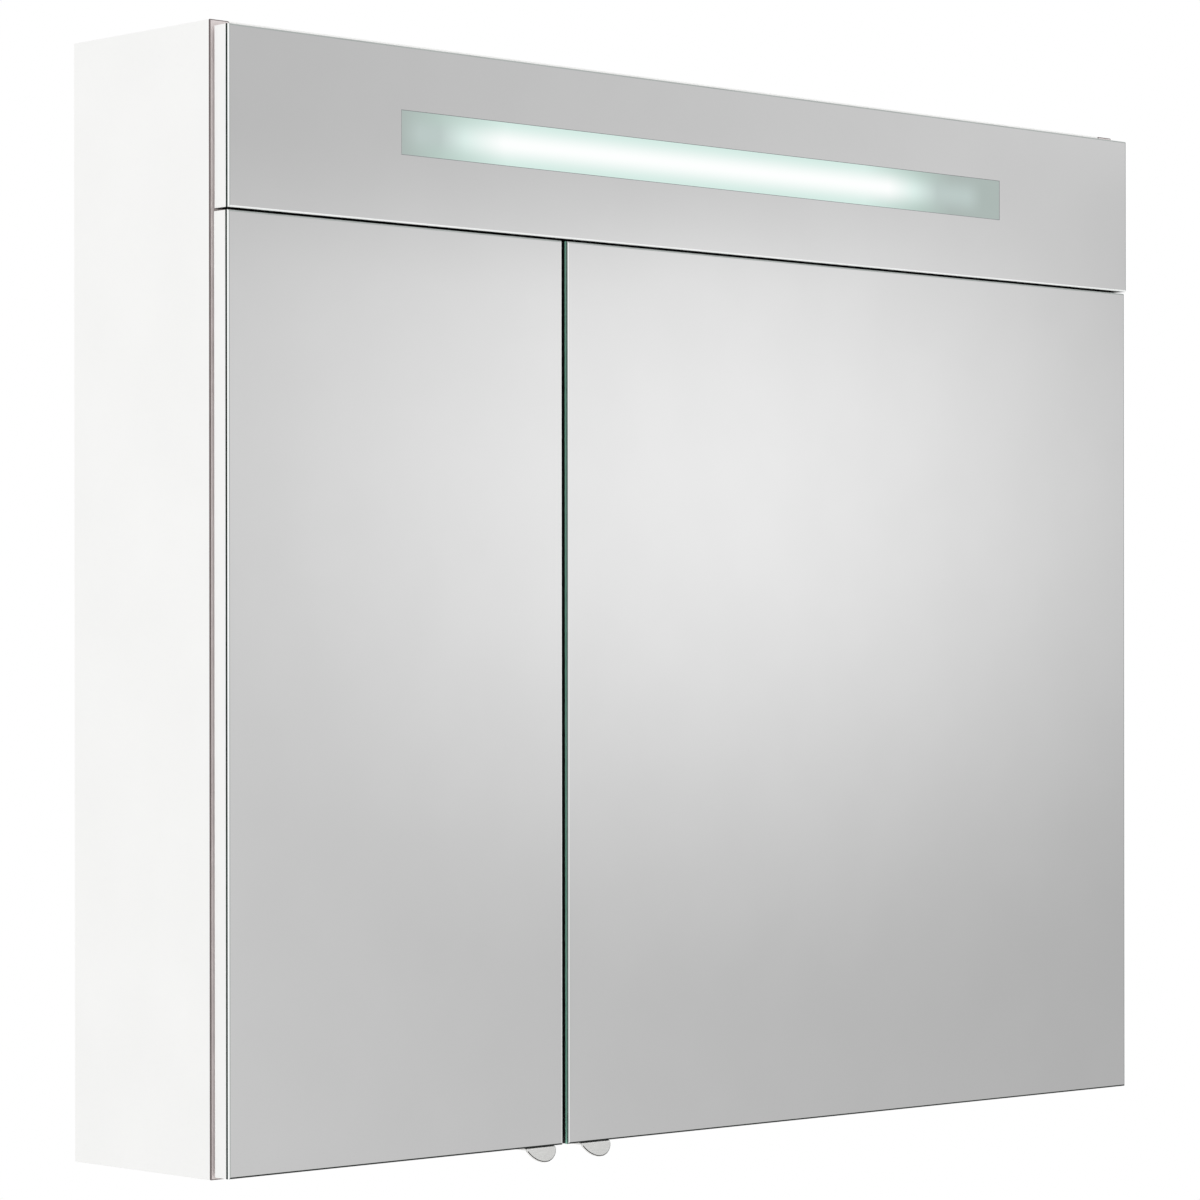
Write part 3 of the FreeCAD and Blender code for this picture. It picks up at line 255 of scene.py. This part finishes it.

# %% [markdown]
# ## The satin window's glow
# The tube is shorter than the window, so the middle is nearly white, its ends fade to mint and then to
# a dull grey green, and the strips above and below the tube stay cooler than the band in front of it.
# The tube's light through the etched glass is painted light: the glass glows itself, painted in the
# piece's own coordinates, with two rows of stops in millimetres from the window's middle, one for the
# band in front of the tube and one for the strips beside it.  A Mix node has sockets for several
# kinds of data under one name, so the colour ones are told by number.

# %% Window glow
WINDOW_LENGTH = 600 * MM
WINDOW_HEIGHT = 30 * MM
STRIP_REACH = 15.5 * MM
ETCHED_GRAIN = 0.4 * MM
ETCHED_DEPTH = 0.01 * MM
FACTOR, COLOUR_A, COLOUR_B = 0, 6, 7
COLOUR_RESULT = 2
tube_low, tube_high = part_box("fluorescent_tube")
WINDOW_MIDDLE = (tube_low + tube_high) / 2
WINDOW_MIDDLE.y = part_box("light_panel_board")[0].y
GLOW_WHITE = "#fafcfb"
GLOW_MINT = "#d8eae5"
GLOW_DULL = "#b6c4c1"
GLOW_FAR = "#a6b2ae"
STRIP_MINT = "#d0e7e0"
STRIP_DULL = "#b0c3bc"
MIDDLE_STOPS = ((-300, GLOW_FAR), (-284, GLOW_DULL), (-266, GLOW_DULL), (-243, GLOW_MINT),
                (-208, GLOW_WHITE), (176, GLOW_WHITE), (204, GLOW_MINT), (230, GLOW_DULL),
                (264, GLOW_DULL), (280, GLOW_FAR), (300, GLOW_FAR))
STRIP_STOPS = ((-300, GLOW_FAR), (-270, STRIP_DULL), (-205, STRIP_MINT), (150, STRIP_MINT),
               (214, STRIP_DULL), (244, GLOW_FAR), (300, GLOW_FAR))
# The etched glass's emission is painted light, standing in for the tube shining through it
tree, shader = material("float_glass_satin_etched_painted_glow", Roughness=0.5, IOR=1.5, Specular_IOR_Level=0.3,
                        Base_Color=colour("#1a1c1b"), Emission_Strength=1.0)
place = add(tree, "ShaderNodeTexCoord").outputs["Object"]
centred = add(tree, "ShaderNodeMapping", {"Location": -WINDOW_MIDDLE}, Vector=place)
folded = add(tree, "ShaderNodeVectorMath", {"operation": "ABSOLUTE"})
tree.links.new(centred.outputs["Vector"], folded.inputs[0])
both_ways = add(tree, "ShaderNodeSeparateXYZ", None, Vector=centred.outputs["Vector"])
one_way = add(tree, "ShaderNodeSeparateXYZ", None, Vector=folded.outputs["Vector"])
along = add(tree, "ShaderNodeMapRange", {"From Min": -WINDOW_LENGTH / 2, "From Max": WINDOW_LENGTH / 2},
            Value=both_ways.outputs["X"])
across = add(tree, "ShaderNodeMapRange", {"From Max": STRIP_REACH, "interpolation_type": "SMOOTHSTEP"},
             Value=one_way.outputs["Z"])
layers = []
for stops in (MIDDLE_STOPS, STRIP_STOPS):
    ramp = add(tree, "ShaderNodeValToRGB", None, Fac=along.outputs["Result"])
    points = ramp.color_ramp.elements
    points[1].position = 1.0
    places = [0.5 + way_mm * MM / WINDOW_LENGTH for way_mm, code in stops]
    for inner in places[1:-1]:
        points.new(inner)
    for point, position, (way_mm, code) in zip(points, places, stops):
        point.position = position
        point.color = colour(code)
    layers.append(ramp.outputs["Color"])
glow = add(tree, "ShaderNodeMix", {"data_type": "RGBA"})
for socket, source in zip((FACTOR, COLOUR_A, COLOUR_B), (across.outputs["Result"], *layers)):
    tree.links.new(source, glow.inputs[socket])
tree.links.new(glow.outputs[COLOUR_RESULT], shader.inputs["Emission Color"])
grain = add(tree, "ShaderNodeTexNoise", {"Scale": 1 / ETCHED_GRAIN}, Vector=place)
relief = add(tree, "ShaderNodeBump", {"Distance": ETCHED_DEPTH}, Height=grain.outputs["Fac"])
tree.links.new(relief.outputs["Normal"], shader.inputs["Normal"])
print("window", WINDOW_LENGTH, "x", WINDOW_HEIGHT, "m round",
      [round(value, 4) for value in WINDOW_MIDDLE])

# %% [markdown]
# ## Which finish goes on which node
# The record gives each node a slot.  Nodes that are remade below get their finish there.

# %% Finishes by slot
FINISH = {
    "white_board": "satin_lacquer_sprayed", "back_board": "hardboard_painted",
    "dowel_wood": "beech_turned", "mirror_glass": "float_glass_silvered", "clear_glass": "float_glass_clear",
    "lamp_glass": "fluorescent_tube_lit", "cap_aluminium": "aluminium_drawn",
    "white_plastic": "white_plastic_moulded", "clear_bumper": "polyurethane_bumper_cast",
    "black_rubber": "rubber_moulded", "white_sheet": "sheet_steel_powder_coated",
    "nickel_steel": "nickel_plated_steel", "satin_steel": "stainless_steel_satin_ground",
    "zinc": "zinc_plated_steel",
}
for name, node in NODES.items():
    node.data.materials.clear()
    node.data.materials.append(MATERIALS[FINISH[SLOT_OF[name]]])
print("finishes on", len(NODES), "nodes")

# %% [markdown]
# ## Eased edges
# No board or pressing has a knife edge: lacquered boards are sanded to 0.5 or 0.7 mm, pressings are
# tumbled to 0.25 mm.  Each node is copied, its loose triangles are merged back into flat faces, and a
# bevel rounds its edges; those of a board's small holes stay sharp.  The copy rides on the node's
# body and stands for it.


# %% Helpers that turn a bmesh into a piece; angles are in degrees
CREASE = 12
CORNER = 40
FLAT = 1
WELD = 0.002 * MM
CUT = 0.001 * MM


def pick(items, kind):
    """The items of one kind, such as the vertices, from what an operator gives back."""
    return [item for item in items if isinstance(item, kind)]


def everything(shape):
    """All the vertices, edges and faces of a bmesh."""
    return shape.verts[:] + shape.edges[:] + shape.faces[:]


def piece_from(shape, name, body, finishes):
    """Make a finished bmesh an object that rides on a body, with smooth faces and sharp corners."""
    mesh = bpy.data.meshes.new(name)
    for face in shape.faces:
        face.smooth = True
    shape.to_mesh(mesh)
    shape.free()
    mesh.set_sharp_from_angle(angle=math.radians(CREASE))
    for finish_name in finishes:
        mesh.materials.append(MATERIALS[finish_name])
    piece = bpy.data.objects.new(name, mesh)
    bpy.context.scene.collection.objects.link(piece)
    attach(piece, body)
    return piece


def whole(node_name):
    """A node's mesh as a bmesh with its triangles merged into flat faces."""
    shape = bmesh.new()
    shape.from_mesh(NODES[node_name].data)
    bmesh.ops.remove_doubles(shape, verts=shape.verts, dist=WELD)
    bmesh.ops.dissolve_limit(shape, angle_limit=math.radians(FLAT), verts=shape.verts,
                             edges=shape.edges)
    return shape


def ease(shape, width, segments=2, corner=CORNER, only=None):
    """Round the edges whose faces turn by more than the corner's angle."""
    sharp = [edge for edge in shape.edges if len(edge.link_faces) == 2
             and edge.calc_face_angle(0) > math.radians(corner) and (only is None or only(edge))]
    bmesh.ops.bevel(shape, geom=sharp, offset=width, offset_type="OFFSET", segments=segments,
                    profile=0.5, affect="EDGES", material=-1, clamp_overlap=True)


def fine_copy(node_name, width, segments=2, finishes=None, paint=None, shortest=0):
    """A softened copy of a node that stands for it; edges shorter than the shortest stay sharp."""
    shape = whole(node_name)
    ease(shape, width, segments, only=lambda edge: edge.calc_length() > shortest)
    if paint:
        paint(shape)
    piece = piece_from(shape, f"fine_{node_name}", BODY_OF[node_name],
                       finishes or [FINISH[SLOT_OF[node_name]]])
    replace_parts(piece, node_name)


# %% [markdown]
# ## Boards and their edge bands
# The carcass boards are cut from lacquered sheet and a plastic band 1 mm thick is glued along each
# front edge.  The band's front is painted a pink grey, painted shade for an edge set back in the gap
# behind the fronts, and its corner is painted darker still, a painted shadow line.  The board is cut
# across where the band begins, and the faces in front of the cut take the band's finishes, the second
# and third in its list; the first is the lacquer.  The light shelf and the partition stand in the gaps
# between the fronts, so their bands are painted black, and so are the fronts' own edges along the
# gaps: painted shade, so that the gaps read as thin shadows.

# %% Boards with sanded edges and a band along the front
BAND = 1.0 * MM
OUTLINE = 10 * MM
SANDED = 0.7 * MM
SANDED_FRONT = 0.5 * MM
BAND_FRONT, BAND_CORNER = 1, 2


def band_front(node_name):
    """Give the front edge of a board its edge band: painted shade on its front, a darker painted shadow on
    its corner.
    """
    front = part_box(node_name)[0].y

    def paint(shape):
        bmesh.ops.bisect_plane(shape, geom=everything(shape), dist=CUT, plane_co=(0, front + BAND, 0),
                               plane_no=(0, 1, 0))
        shape.normal_update()
        for face in shape.faces:
            if face.calc_center_median().y < front + BAND:
                face.material_index = BAND_FRONT if face.normal.y < -0.95 else BAND_CORNER
    return paint


def paint_gap_shadow(*directions):
    """Paint the edges that face a gap black, as painted shade for the gap."""
    def paint(shape):
        shape.normal_update()
        for face in shape.faces:
            if any(face.normal.dot(Vector(direction)) > 0.6 for direction in directions):
                face.material_index = BAND_FRONT
    return paint


# Lacquer, then the band's painted shade for its front and its painted shadow for its corner
SHADED_BAND = ["satin_lacquer_sprayed", "abs_edge_band_painted_shade", "abs_edge_band_painted_corner_shadow"]
GAP_SHADOW_BAND = ["satin_lacquer_sprayed", "edge_band_painted_gap_shadow", "edge_band_painted_gap_shadow"]
GAPS = {"door_left_board": [(1, 0, 0), (0, 0, 1)], "door_right_board": [(-1, 0, 0), (0, 0, 1)],
        "light_panel_board": [(0, 0, -1)]}
for name, bands in (("side_left", SHADED_BAND), ("side_right", SHADED_BAND), ("bottom_panel", SHADED_BAND),
                    ("light_shelf", GAP_SHADOW_BAND), ("partition", GAP_SHADOW_BAND)):
    fine_copy(name, SANDED, 2, bands, band_front(name), OUTLINE)
fine_copy("top_panel", SANDED, shortest=OUTLINE)
fine_copy("back_panel", SANDED_FRONT, shortest=OUTLINE)
# The fronts' edges along the gaps are painted black as painted shade
for name, gaps in GAPS.items():
    fine_copy(name, SANDED_FRONT, 2, GAP_SHADOW_BAND[:2], paint_gap_shadow(*gaps), OUTLINE)
print("boards eased")

# %% Hinges, plates, brackets, the switch unit and the other small pieces
TUMBLED_EDGE = 0.25 * MM
SIDES = ("left", "right")
PRESSED = ["panel_brackets", "fixing_plates", "reflector"]
for side in SIDES:
    PRESSED += [f"hinge_{side}_plates"]
    PRESSED += [f"hinge_{side}_{place}_{part}" for place in ("upper", "lower")
                for part in ("cup", "arm")]
for name in PRESSED:
    fine_copy(name, TUMBLED_EDGE)
fine_copy("switch_unit", 1.2 * MM, 3)
MOULDED = {"socket_insert": 0.5, "switch_rocker": 0.5, "ballast": 0.8, "cable_grommet": 0.4,
           "bumpers": 0.5}
for name, edge_mm in MOULDED.items():
    fine_copy(name, edge_mm * MM)
print("pressings and mouldings eased:", len(PRESSED) + 1 + len(MOULDED))

# %% [markdown]
# ## Screw heads
# The hinges' screws are driven with a cross-shaped bit.  Each head's flat face is cut by four lines
# each way, and the cells that make a cross are pushed into the head.

# %% Cross recesses; an arm and half a slot are shares of the head's radius
ARM_OF_CROSS = 0.62
HALF_SLOT = 0.17
CROSS_DEPTH = 0.9 * MM
FEWEST_CORNERS = 12
LEVEL_WITHIN = 0.01 * MM
CROSS_CUT = 0.0001 * MM


def cross_recess(shape):
    """Sink a cross into every round flat head of a set of screws."""
    shape.normal_update()
    heads = [face for face in shape.faces if len(face.verts) > FEWEST_CORNERS]
    largest = max(face.calc_area() for face in heads)
    for head in [face for face in heads if face.calc_area() > 0.9 * largest]:
        outward = head.normal.copy()
        if any(vert.co.dot(outward) > head.verts[0].co.dot(outward) + LEVEL_WITHIN
               for edge in head.edges for face in edge.link_faces for vert in face.verts):
            continue
        centre = sum((vert.co for vert in head.verts), Vector()) / len(head.verts)
        radius = (head.verts[0].co - centre).length
        upright = Vector((0, 0, 1))
        level = outward.cross(upright)
        geom = [head, *head.verts, *head.edges]
        for axis in (upright, level):
            for place in (-ARM_OF_CROSS, -HALF_SLOT, HALF_SLOT, ARM_OF_CROSS):
                geom = bmesh.ops.bisect_plane(shape, geom=geom, dist=CROSS_CUT, plane_no=axis,
                                              plane_co=centre + axis * radius * place)["geom"]
        sunk = []
        for cell in pick(geom, bmesh.types.BMFace):
            away = cell.calc_center_median() - centre
            near, far = sorted((abs(away.dot(upright)), abs(away.dot(level))))
            if near < HALF_SLOT * radius and far < ARM_OF_CROSS * radius:
                sunk.append(cell)
        floor_of_cross = bmesh.ops.extrude_face_region(shape, geom=sunk)["geom"]
        bmesh.ops.translate(shape, vec=outward * -CROSS_DEPTH,
                            verts=pick(floor_of_cross, bmesh.types.BMVert))


for side in SIDES:
    for kind in ("cup", "plate"):
        node_name = f"hinge_{side}_{kind}_screws"
        shape = whole(node_name)
        cross_recess(shape)
        piece = piece_from(shape, f"fine_{node_name}", BODY_OF[node_name],
                           ["zinc_plated_steel"])
        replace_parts(piece, node_name)
        print(node_name, len(piece.data.polygons), "faces")

# %% [markdown]
# ## Mirrors
# Each mirror is a sheet whose four front edges are ground and polished to a 1.2 mm arris in three
# facets.  A bevel on the front edges of a box makes them, and a table paints the facets of each
# side, from the outermost to the one next to the silver, with light and shade: a painted highlight
# towards the room, painted grey or dark shade beside a neighbour's edge, and painted dark shade under
# a door.  A facet is told by how far its normal turns to the front.

# %% Mirror panes
ARRIS = 1.2 * MM
NEAR_FRONT = 0.1 * MM
RIM_WIDTH = 0.5 * MM
RIM_DEPTH = 0.1 * MM
SILVER, EDGE, PAINTED_BRIGHT, PAINT, SATIN_PAINTED_GLOW, PAINTED_DARK, PAINTED_GREY, PAINTED_LIGHT_EDGE = range(8)
PANE_FINISHES = ["float_glass_silvered", "float_glass_edge_ground_painted_shade", "float_glass_arris_painted_highlight",
                 "mirror_backing_paint", "float_glass_satin_etched_painted_glow", "float_glass_arris_painted_dark_shade",
                 "float_glass_arris_painted_grey_shade", "float_glass_edge_painted_light"]
# Painted highlight or painted shade for each arris facet, side by side
FACET_PAINTED_LIGHT = {
    "light_panel_mirror": {"left": (PAINTED_BRIGHT, PAINTED_BRIGHT, PAINTED_GREY), "right": (PAINTED_GREY, PAINTED_GREY, PAINTED_DARK),
                           "top": (PAINTED_GREY, PAINTED_GREY, PAINTED_GREY), "bottom": (PAINTED_BRIGHT, PAINTED_BRIGHT, PAINTED_BRIGHT)},
    "door_left_mirror": {"left": (PAINTED_BRIGHT, PAINTED_BRIGHT, PAINTED_GREY), "right": (PAINTED_BRIGHT, PAINTED_BRIGHT, PAINTED_BRIGHT),
                         "top": (PAINTED_GREY, PAINTED_GREY, PAINTED_GREY), "bottom": (PAINTED_DARK, PAINTED_DARK, PAINTED_DARK)},
    "door_right_mirror": {"left": (PAINTED_DARK, PAINTED_GREY, PAINTED_BRIGHT), "right": (PAINTED_GREY, PAINTED_GREY, PAINTED_DARK),
                          "top": (PAINTED_GREY, PAINTED_GREY, PAINTED_GREY), "bottom": (PAINTED_DARK, PAINTED_DARK, PAINTED_DARK)},
}
OUTERMOST = -0.5
MIDDLE_FACET = -0.85


def slab(node_name):
    """A box that fills a node's own box."""
    low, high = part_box(node_name)
    shape = bmesh.new()
    bmesh.ops.create_cube(shape, size=1)
    bmesh.ops.scale(shape, vec=high - low, verts=shape.verts)
    bmesh.ops.translate(shape, vec=(low + high) / 2, verts=shape.verts)
    return shape


def side_of(normal):
    """Which side of the pane a face at its edge belongs to."""
    if abs(normal.x) > abs(normal.z):
        return "left" if normal.x < 0 else "right"
    return "top" if normal.z > 0 else "bottom"


def cut_window(shape):
    """Cut the window's outline into the front and give it the etched finish with its painted glow, and a
    thin rim.
    """
    for normal, half in ((Vector((1, 0, 0)), WINDOW_LENGTH / 2),
                         (Vector((0, 0, 1)), WINDOW_HEIGHT / 2)):
        for sign in (-1, 1):
            bmesh.ops.bisect_plane(shape, geom=everything(shape), dist=CUT, plane_no=normal,
                                   plane_co=WINDOW_MIDDLE + normal * half * sign)
    lit = []
    for face in shape.faces:
        away = face.calc_center_median() - WINDOW_MIDDLE
        inside = abs(away.x) < WINDOW_LENGTH / 2 and abs(away.z) < WINDOW_HEIGHT / 2
        if inside and face.material_index == SILVER:
            face.material_index = SATIN_PAINTED_GLOW
            lit.append(face)
    rim = bmesh.ops.inset_region(shape, faces=lit, thickness=RIM_WIDTH, depth=-RIM_DEPTH)["faces"]
    for face in rim:
        face.material_index = PAINT


def mirror(node_name, window=False):
    """A mirror pane, with the etched window where it has one."""
    shape = slab(node_name)
    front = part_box(node_name)[0].y
    ease(shape, ARRIS, 3, only=lambda edge: all(vert.co.y < front + NEAR_FRONT for vert in edge.verts))
    shape.normal_update()
    for face in shape.faces:
        if abs(face.normal.y) > 0.99:
            face.material_index = SILVER if face.normal.y < 0 else PAINT
        elif abs(face.normal.y) < 0.1:
            # The right door's edge beside the split is painted teal light; the others take the dark painted
            # shade
            beside_gap = node_name == "door_right_mirror" and side_of(face.normal) == "left"
            face.material_index = PAINTED_LIGHT_EDGE if beside_gap else EDGE
        else:
            step = (face.normal.y < OUTERMOST) + (face.normal.y < MIDDLE_FACET)
            face.material_index = FACET_PAINTED_LIGHT[node_name][side_of(face.normal)][step]
    if window:
        cut_window(shape)
    piece = piece_from(shape, f"fine_{node_name}", BODY_OF[node_name], PANE_FINISHES)
    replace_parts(piece, node_name)


mirror("light_panel_mirror", window=True)
mirror("door_left_mirror")
mirror("door_right_mirror")
print("mirrors made")

# %% [markdown]
# ## Glass shelves
# Float glass 5 mm thick with polished edges.  The faces are clear; the edges are seen along the
# sheet and so look green.

# %% Shelves
POLISHED = 0.6 * MM
CLEAR, GREEN_EDGE = range(2)
for name in [node for node in NODES if node.startswith("shelf_") and "pegs" not in node]:
    shape = slab(name)
    ease(shape, POLISHED)
    shape.normal_update()
    for face in shape.faces:
        face.material_index = CLEAR if abs(face.normal.z) > 0.9 else GREEN_EDGE
    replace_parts(piece_from(shape, f"fine_{name}", "cabinet",
                           ["float_glass_clear", "shelf_edge_polished"]), name)
print("shelves made")

# %% [markdown]
# ## Finger pulls
# Each pull is stamped from 1.5 mm sheet: a round leaf that leans out from the mirror's foot, a bend,
# and a flange screwed under the door.  A disc is cut along a chord, the chord is spun through the
# bend, then drawn out into the flange.  The sheet gets its thickness last, and its rim is rounded and
# given a painted highlight on the edge towards the light and painted shade on its rounded corners.

# %% Finger pulls
LEAF_RADIUS = 14.2 * MM
LEAF_DROP = 11 * MM
SHEET = 1.5 * MM
BEND = 2.0 * MM
BEND_STEPS = 8
LEAN = math.radians(30)
RIM_ROUND = 0.55 * MM
RIM_CORNER = 60
RIM_PAINTED_HIGHLIGHT, RIM_PAINTED_SHADE = 1, 2


def paint_rim(shape):
    """Painted highlight on the rim's edge towards the light, painted shade on its rounded corners."""
    shape.normal_update()
    outward = Vector((0, -math.cos(LEAN), math.sin(LEAN)))
    for face in shape.faces:
        facing = face.normal.dot(outward)
        if face.calc_center_median().z > -BEND or abs(facing) > 0.97:
            continue
        lit = face.normal.x < 0.1 and abs(facing) < 0.2
        face.material_index = RIM_PAINTED_HIGHLIGHT if lit else RIM_PAINTED_SHADE


def finger_pull(side):
    """One finger pull, built round the line where its leaf meets the flange."""
    node_name = f"door_{side}_pull"
    low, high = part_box(node_name)
    door_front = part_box(f"door_{side}_mirror")[0].y
    corner = Vector(((low.x + high.x) / 2, door_front, high.z))
    turn = math.pi / 2 - LEAN
    trimmed = BEND * math.tan(turn / 2)

    shape = bmesh.new()
    bmesh.ops.create_circle(shape, cap_ends=True, radius=LEAF_RADIUS, segments=96)
    bmesh.ops.rotate(shape, verts=shape.verts, matrix=Matrix.Rotation(math.pi / 2, 3, "X"))
    bmesh.ops.translate(shape, vec=(0, 0, LEAF_RADIUS - LEAF_DROP), verts=shape.verts)
    bmesh.ops.bisect_plane(shape, geom=everything(shape), plane_co=(0, 0, -trimmed), plane_no=(0, 0, 1),
                           clear_outer=True)
    bmesh.ops.rotate(shape, verts=shape.verts, matrix=Matrix.Rotation(-LEAN, 3, "X"))
    straight = max(shape.edges, key=lambda edge: (edge.verts[0].co + edge.verts[1].co).z)
    heading = Vector((0, math.sin(LEAN), math.cos(LEAN)))
    centre = straight.verts[0].co.copy()
    centre.x = 0
    centre += Vector((0, heading.z, -heading.y)) * BEND
    bent = bmesh.ops.spin(shape, geom=[straight] + list(straight.verts), cent=centre, axis=(1, 0, 0),
                          angle=-turn, steps=BEND_STEPS, use_duplicate=False)
    drawn = bmesh.ops.extrude_edge_only(shape, edges=pick(bent["geom_last"], bmesh.types.BMEdge))
    reach = high.y - corner.y - trimmed
    bmesh.ops.translate(shape, vec=(0, reach, 0), verts=pick(drawn["geom"], bmesh.types.BMVert))
    bmesh.ops.remove_doubles(shape, verts=shape.verts, dist=CUT)
    bmesh.ops.recalc_face_normals(shape, faces=shape.faces)
    if sum(face.normal.z * face.calc_area() for face in shape.faces) < 0:
        bmesh.ops.reverse_faces(shape, faces=shape.faces)
    bmesh.ops.solidify(shape, geom=shape.faces, thickness=SHEET)
    bmesh.ops.recalc_face_normals(shape, faces=shape.faces)
    ease(shape, RIM_ROUND, 3, corner=RIM_CORNER)
    paint_rim(shape)
    bmesh.ops.translate(shape, vec=corner, verts=shape.verts)
    piece = piece_from(shape, f"fine_{node_name}", f"door_{side}",
                       ["stainless_steel_satin_ground", "stainless_steel_rim_painted_highlight",
                        "stainless_steel_rim_painted_shade"])
    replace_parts(piece, node_name)
    print(node_name, [round(value * 1000, 1) for value in piece.dimensions], "mm")


finger_pull("left")
finger_pull("right")

# %% [markdown]
# ## Studio
# White surroundings on every side, a pale floor well below, and one large soft card that only the
# mirrors see.  It is brightest near its middle and darker towards its rim, and leans a little across;
# above TOP_FROM, in metres, it passes over to the even light that the light panel shows.

# %% Surroundings, floor and card
world = bpy.data.worlds.new("studio")
bpy.context.scene.world = world
world.use_nodes = True
world.node_tree.nodes["Background"].inputs["Color"].default_value = (1, 1, 1, 1)
world.node_tree.nodes["Background"].inputs["Strength"].default_value = 1.0


def flat_square(name, half, place, facing):
    """A square plane turned to face a direction."""
    shape = bmesh.new()
    bmesh.ops.create_grid(shape, x_segments=1, y_segments=1, size=half)
    bmesh.ops.rotate(shape, verts=shape.verts,
                     matrix=Vector(facing).to_track_quat("Z", "Y").to_matrix())
    bmesh.ops.translate(shape, vec=place, verts=shape.verts)
    mesh = bpy.data.meshes.new(name)
    shape.to_mesh(mesh)
    shape.free()
    made = bpy.data.objects.new(name, mesh)
    bpy.context.scene.collection.objects.link(made)
    return made


FLOOR_HALF = 4.0
FLOOR_MIDDLE = (0, -1.0, -1.25)
floor = flat_square("floor", FLOOR_HALF, FLOOR_MIDDLE, (0, 0, 1))
finish("paper_floor", "#f6f6f5", "#f9f9f8", 400, (0.85, 0.95))
floor.data.materials.append(MATERIALS["paper_floor"])

mirror_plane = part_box("door_left_mirror")[0].y
seen = Vector((math.sin(YAW), -math.cos(YAW), 0))
CARD_AWAY = 3.0
CARD_HALF = 2.2
card_middle = Vector((0, mirror_plane, 0)) + seen * CARD_AWAY
card = flat_square("soft_card", CARD_HALF, card_middle, -seen)
card.visible_camera = False
card.visible_diffuse = False
card_light = bpy.data.materials.new("card_light")
card_light.use_nodes = True
tree = card_light.node_tree
tree.nodes.clear()
level_side = Vector((math.cos(YAW), math.sin(YAW), 0))
BRIGHTEST = Vector((0.129, 0, 0.248))
SPREAD = Vector((1.015, 1, 0.823))
CENTRE_LIGHT = 0.972
RIM_LIGHT = 0.577
TILT = -0.123
TOP_FROM = 0.482
TOP_TO = 0.752
TOP_LIGHT = 0.645
TOP_TILT = 0.105
TERM, TIMES, PLUS = range(3)
VALUE_A, VALUE_B = 2, 3
VALUE_RESULT = 0
place = add(tree, "ShaderNodeTexCoord").outputs["Object"]
turned = add(tree, "ShaderNodeMapping", {"Rotation": (0, 0, -YAW)}, Vector=place)
start = card_middle.dot(level_side) + BRIGHTEST.x
scaled = add(tree, "ShaderNodeMapping", {"Location": (-start / SPREAD.x, 0, -BRIGHTEST.z / SPREAD.z),
                                         "Scale": (1 / SPREAD.x, 0, 1 / SPREAD.z)},
             Vector=turned.outputs["Vector"])
away = add(tree, "ShaderNodeVectorMath", {"operation": "LENGTH"})
tree.links.new(scaled.outputs["Vector"], away.inputs[0])
fall = add(tree, "ShaderNodeMapRange", {"To Min": CENTRE_LIGHT, "To Max": RIM_LIGHT,
                                        "interpolation_type": "SMOOTHSTEP"},
           Value=away.outputs["Value"])
sides = add(tree, "ShaderNodeSeparateXYZ", None, Vector=scaled.outputs["Vector"])
slope = add(tree, "ShaderNodeMath", {"operation": "MULTIPLY_ADD"})
slope.inputs[TIMES].default_value = TILT * SPREAD.x
tree.links.new(sides.outputs["X"], slope.inputs[TERM])
tree.links.new(fall.outputs["Result"], slope.inputs[PLUS])
top_slope = add(tree, "ShaderNodeMath", {"operation": "MULTIPLY_ADD"})
top_slope.inputs[TIMES].default_value = TOP_TILT * SPREAD.x
top_slope.inputs[PLUS].default_value = TOP_LIGHT + TOP_TILT * BRIGHTEST.x
tree.links.new(sides.outputs["X"], top_slope.inputs[TERM])
height = add(tree, "ShaderNodeSeparateXYZ", None, Vector=place)
towards_top = add(tree, "ShaderNodeMapRange", {"From Min": TOP_FROM, "From Max": TOP_TO,
                                               "interpolation_type": "SMOOTHSTEP"},
                  Value=height.outputs["Z"])
level = add(tree, "ShaderNodeMix", {"data_type": "FLOAT"})
mixed = (towards_top.outputs["Result"], slope.outputs["Value"], top_slope.outputs["Value"])
for socket, source in zip((FACTOR, VALUE_A, VALUE_B), mixed):
    tree.links.new(source, level.inputs[socket])
light = add(tree, "ShaderNodeEmission", {"Color": (1, 1, 1, 1)}, Strength=level.outputs[VALUE_RESULT])
add(tree, "ShaderNodeOutputMaterial", None, Surface=light.outputs["Emission"])
card.data.materials.append(card_light)
print("studio ready")
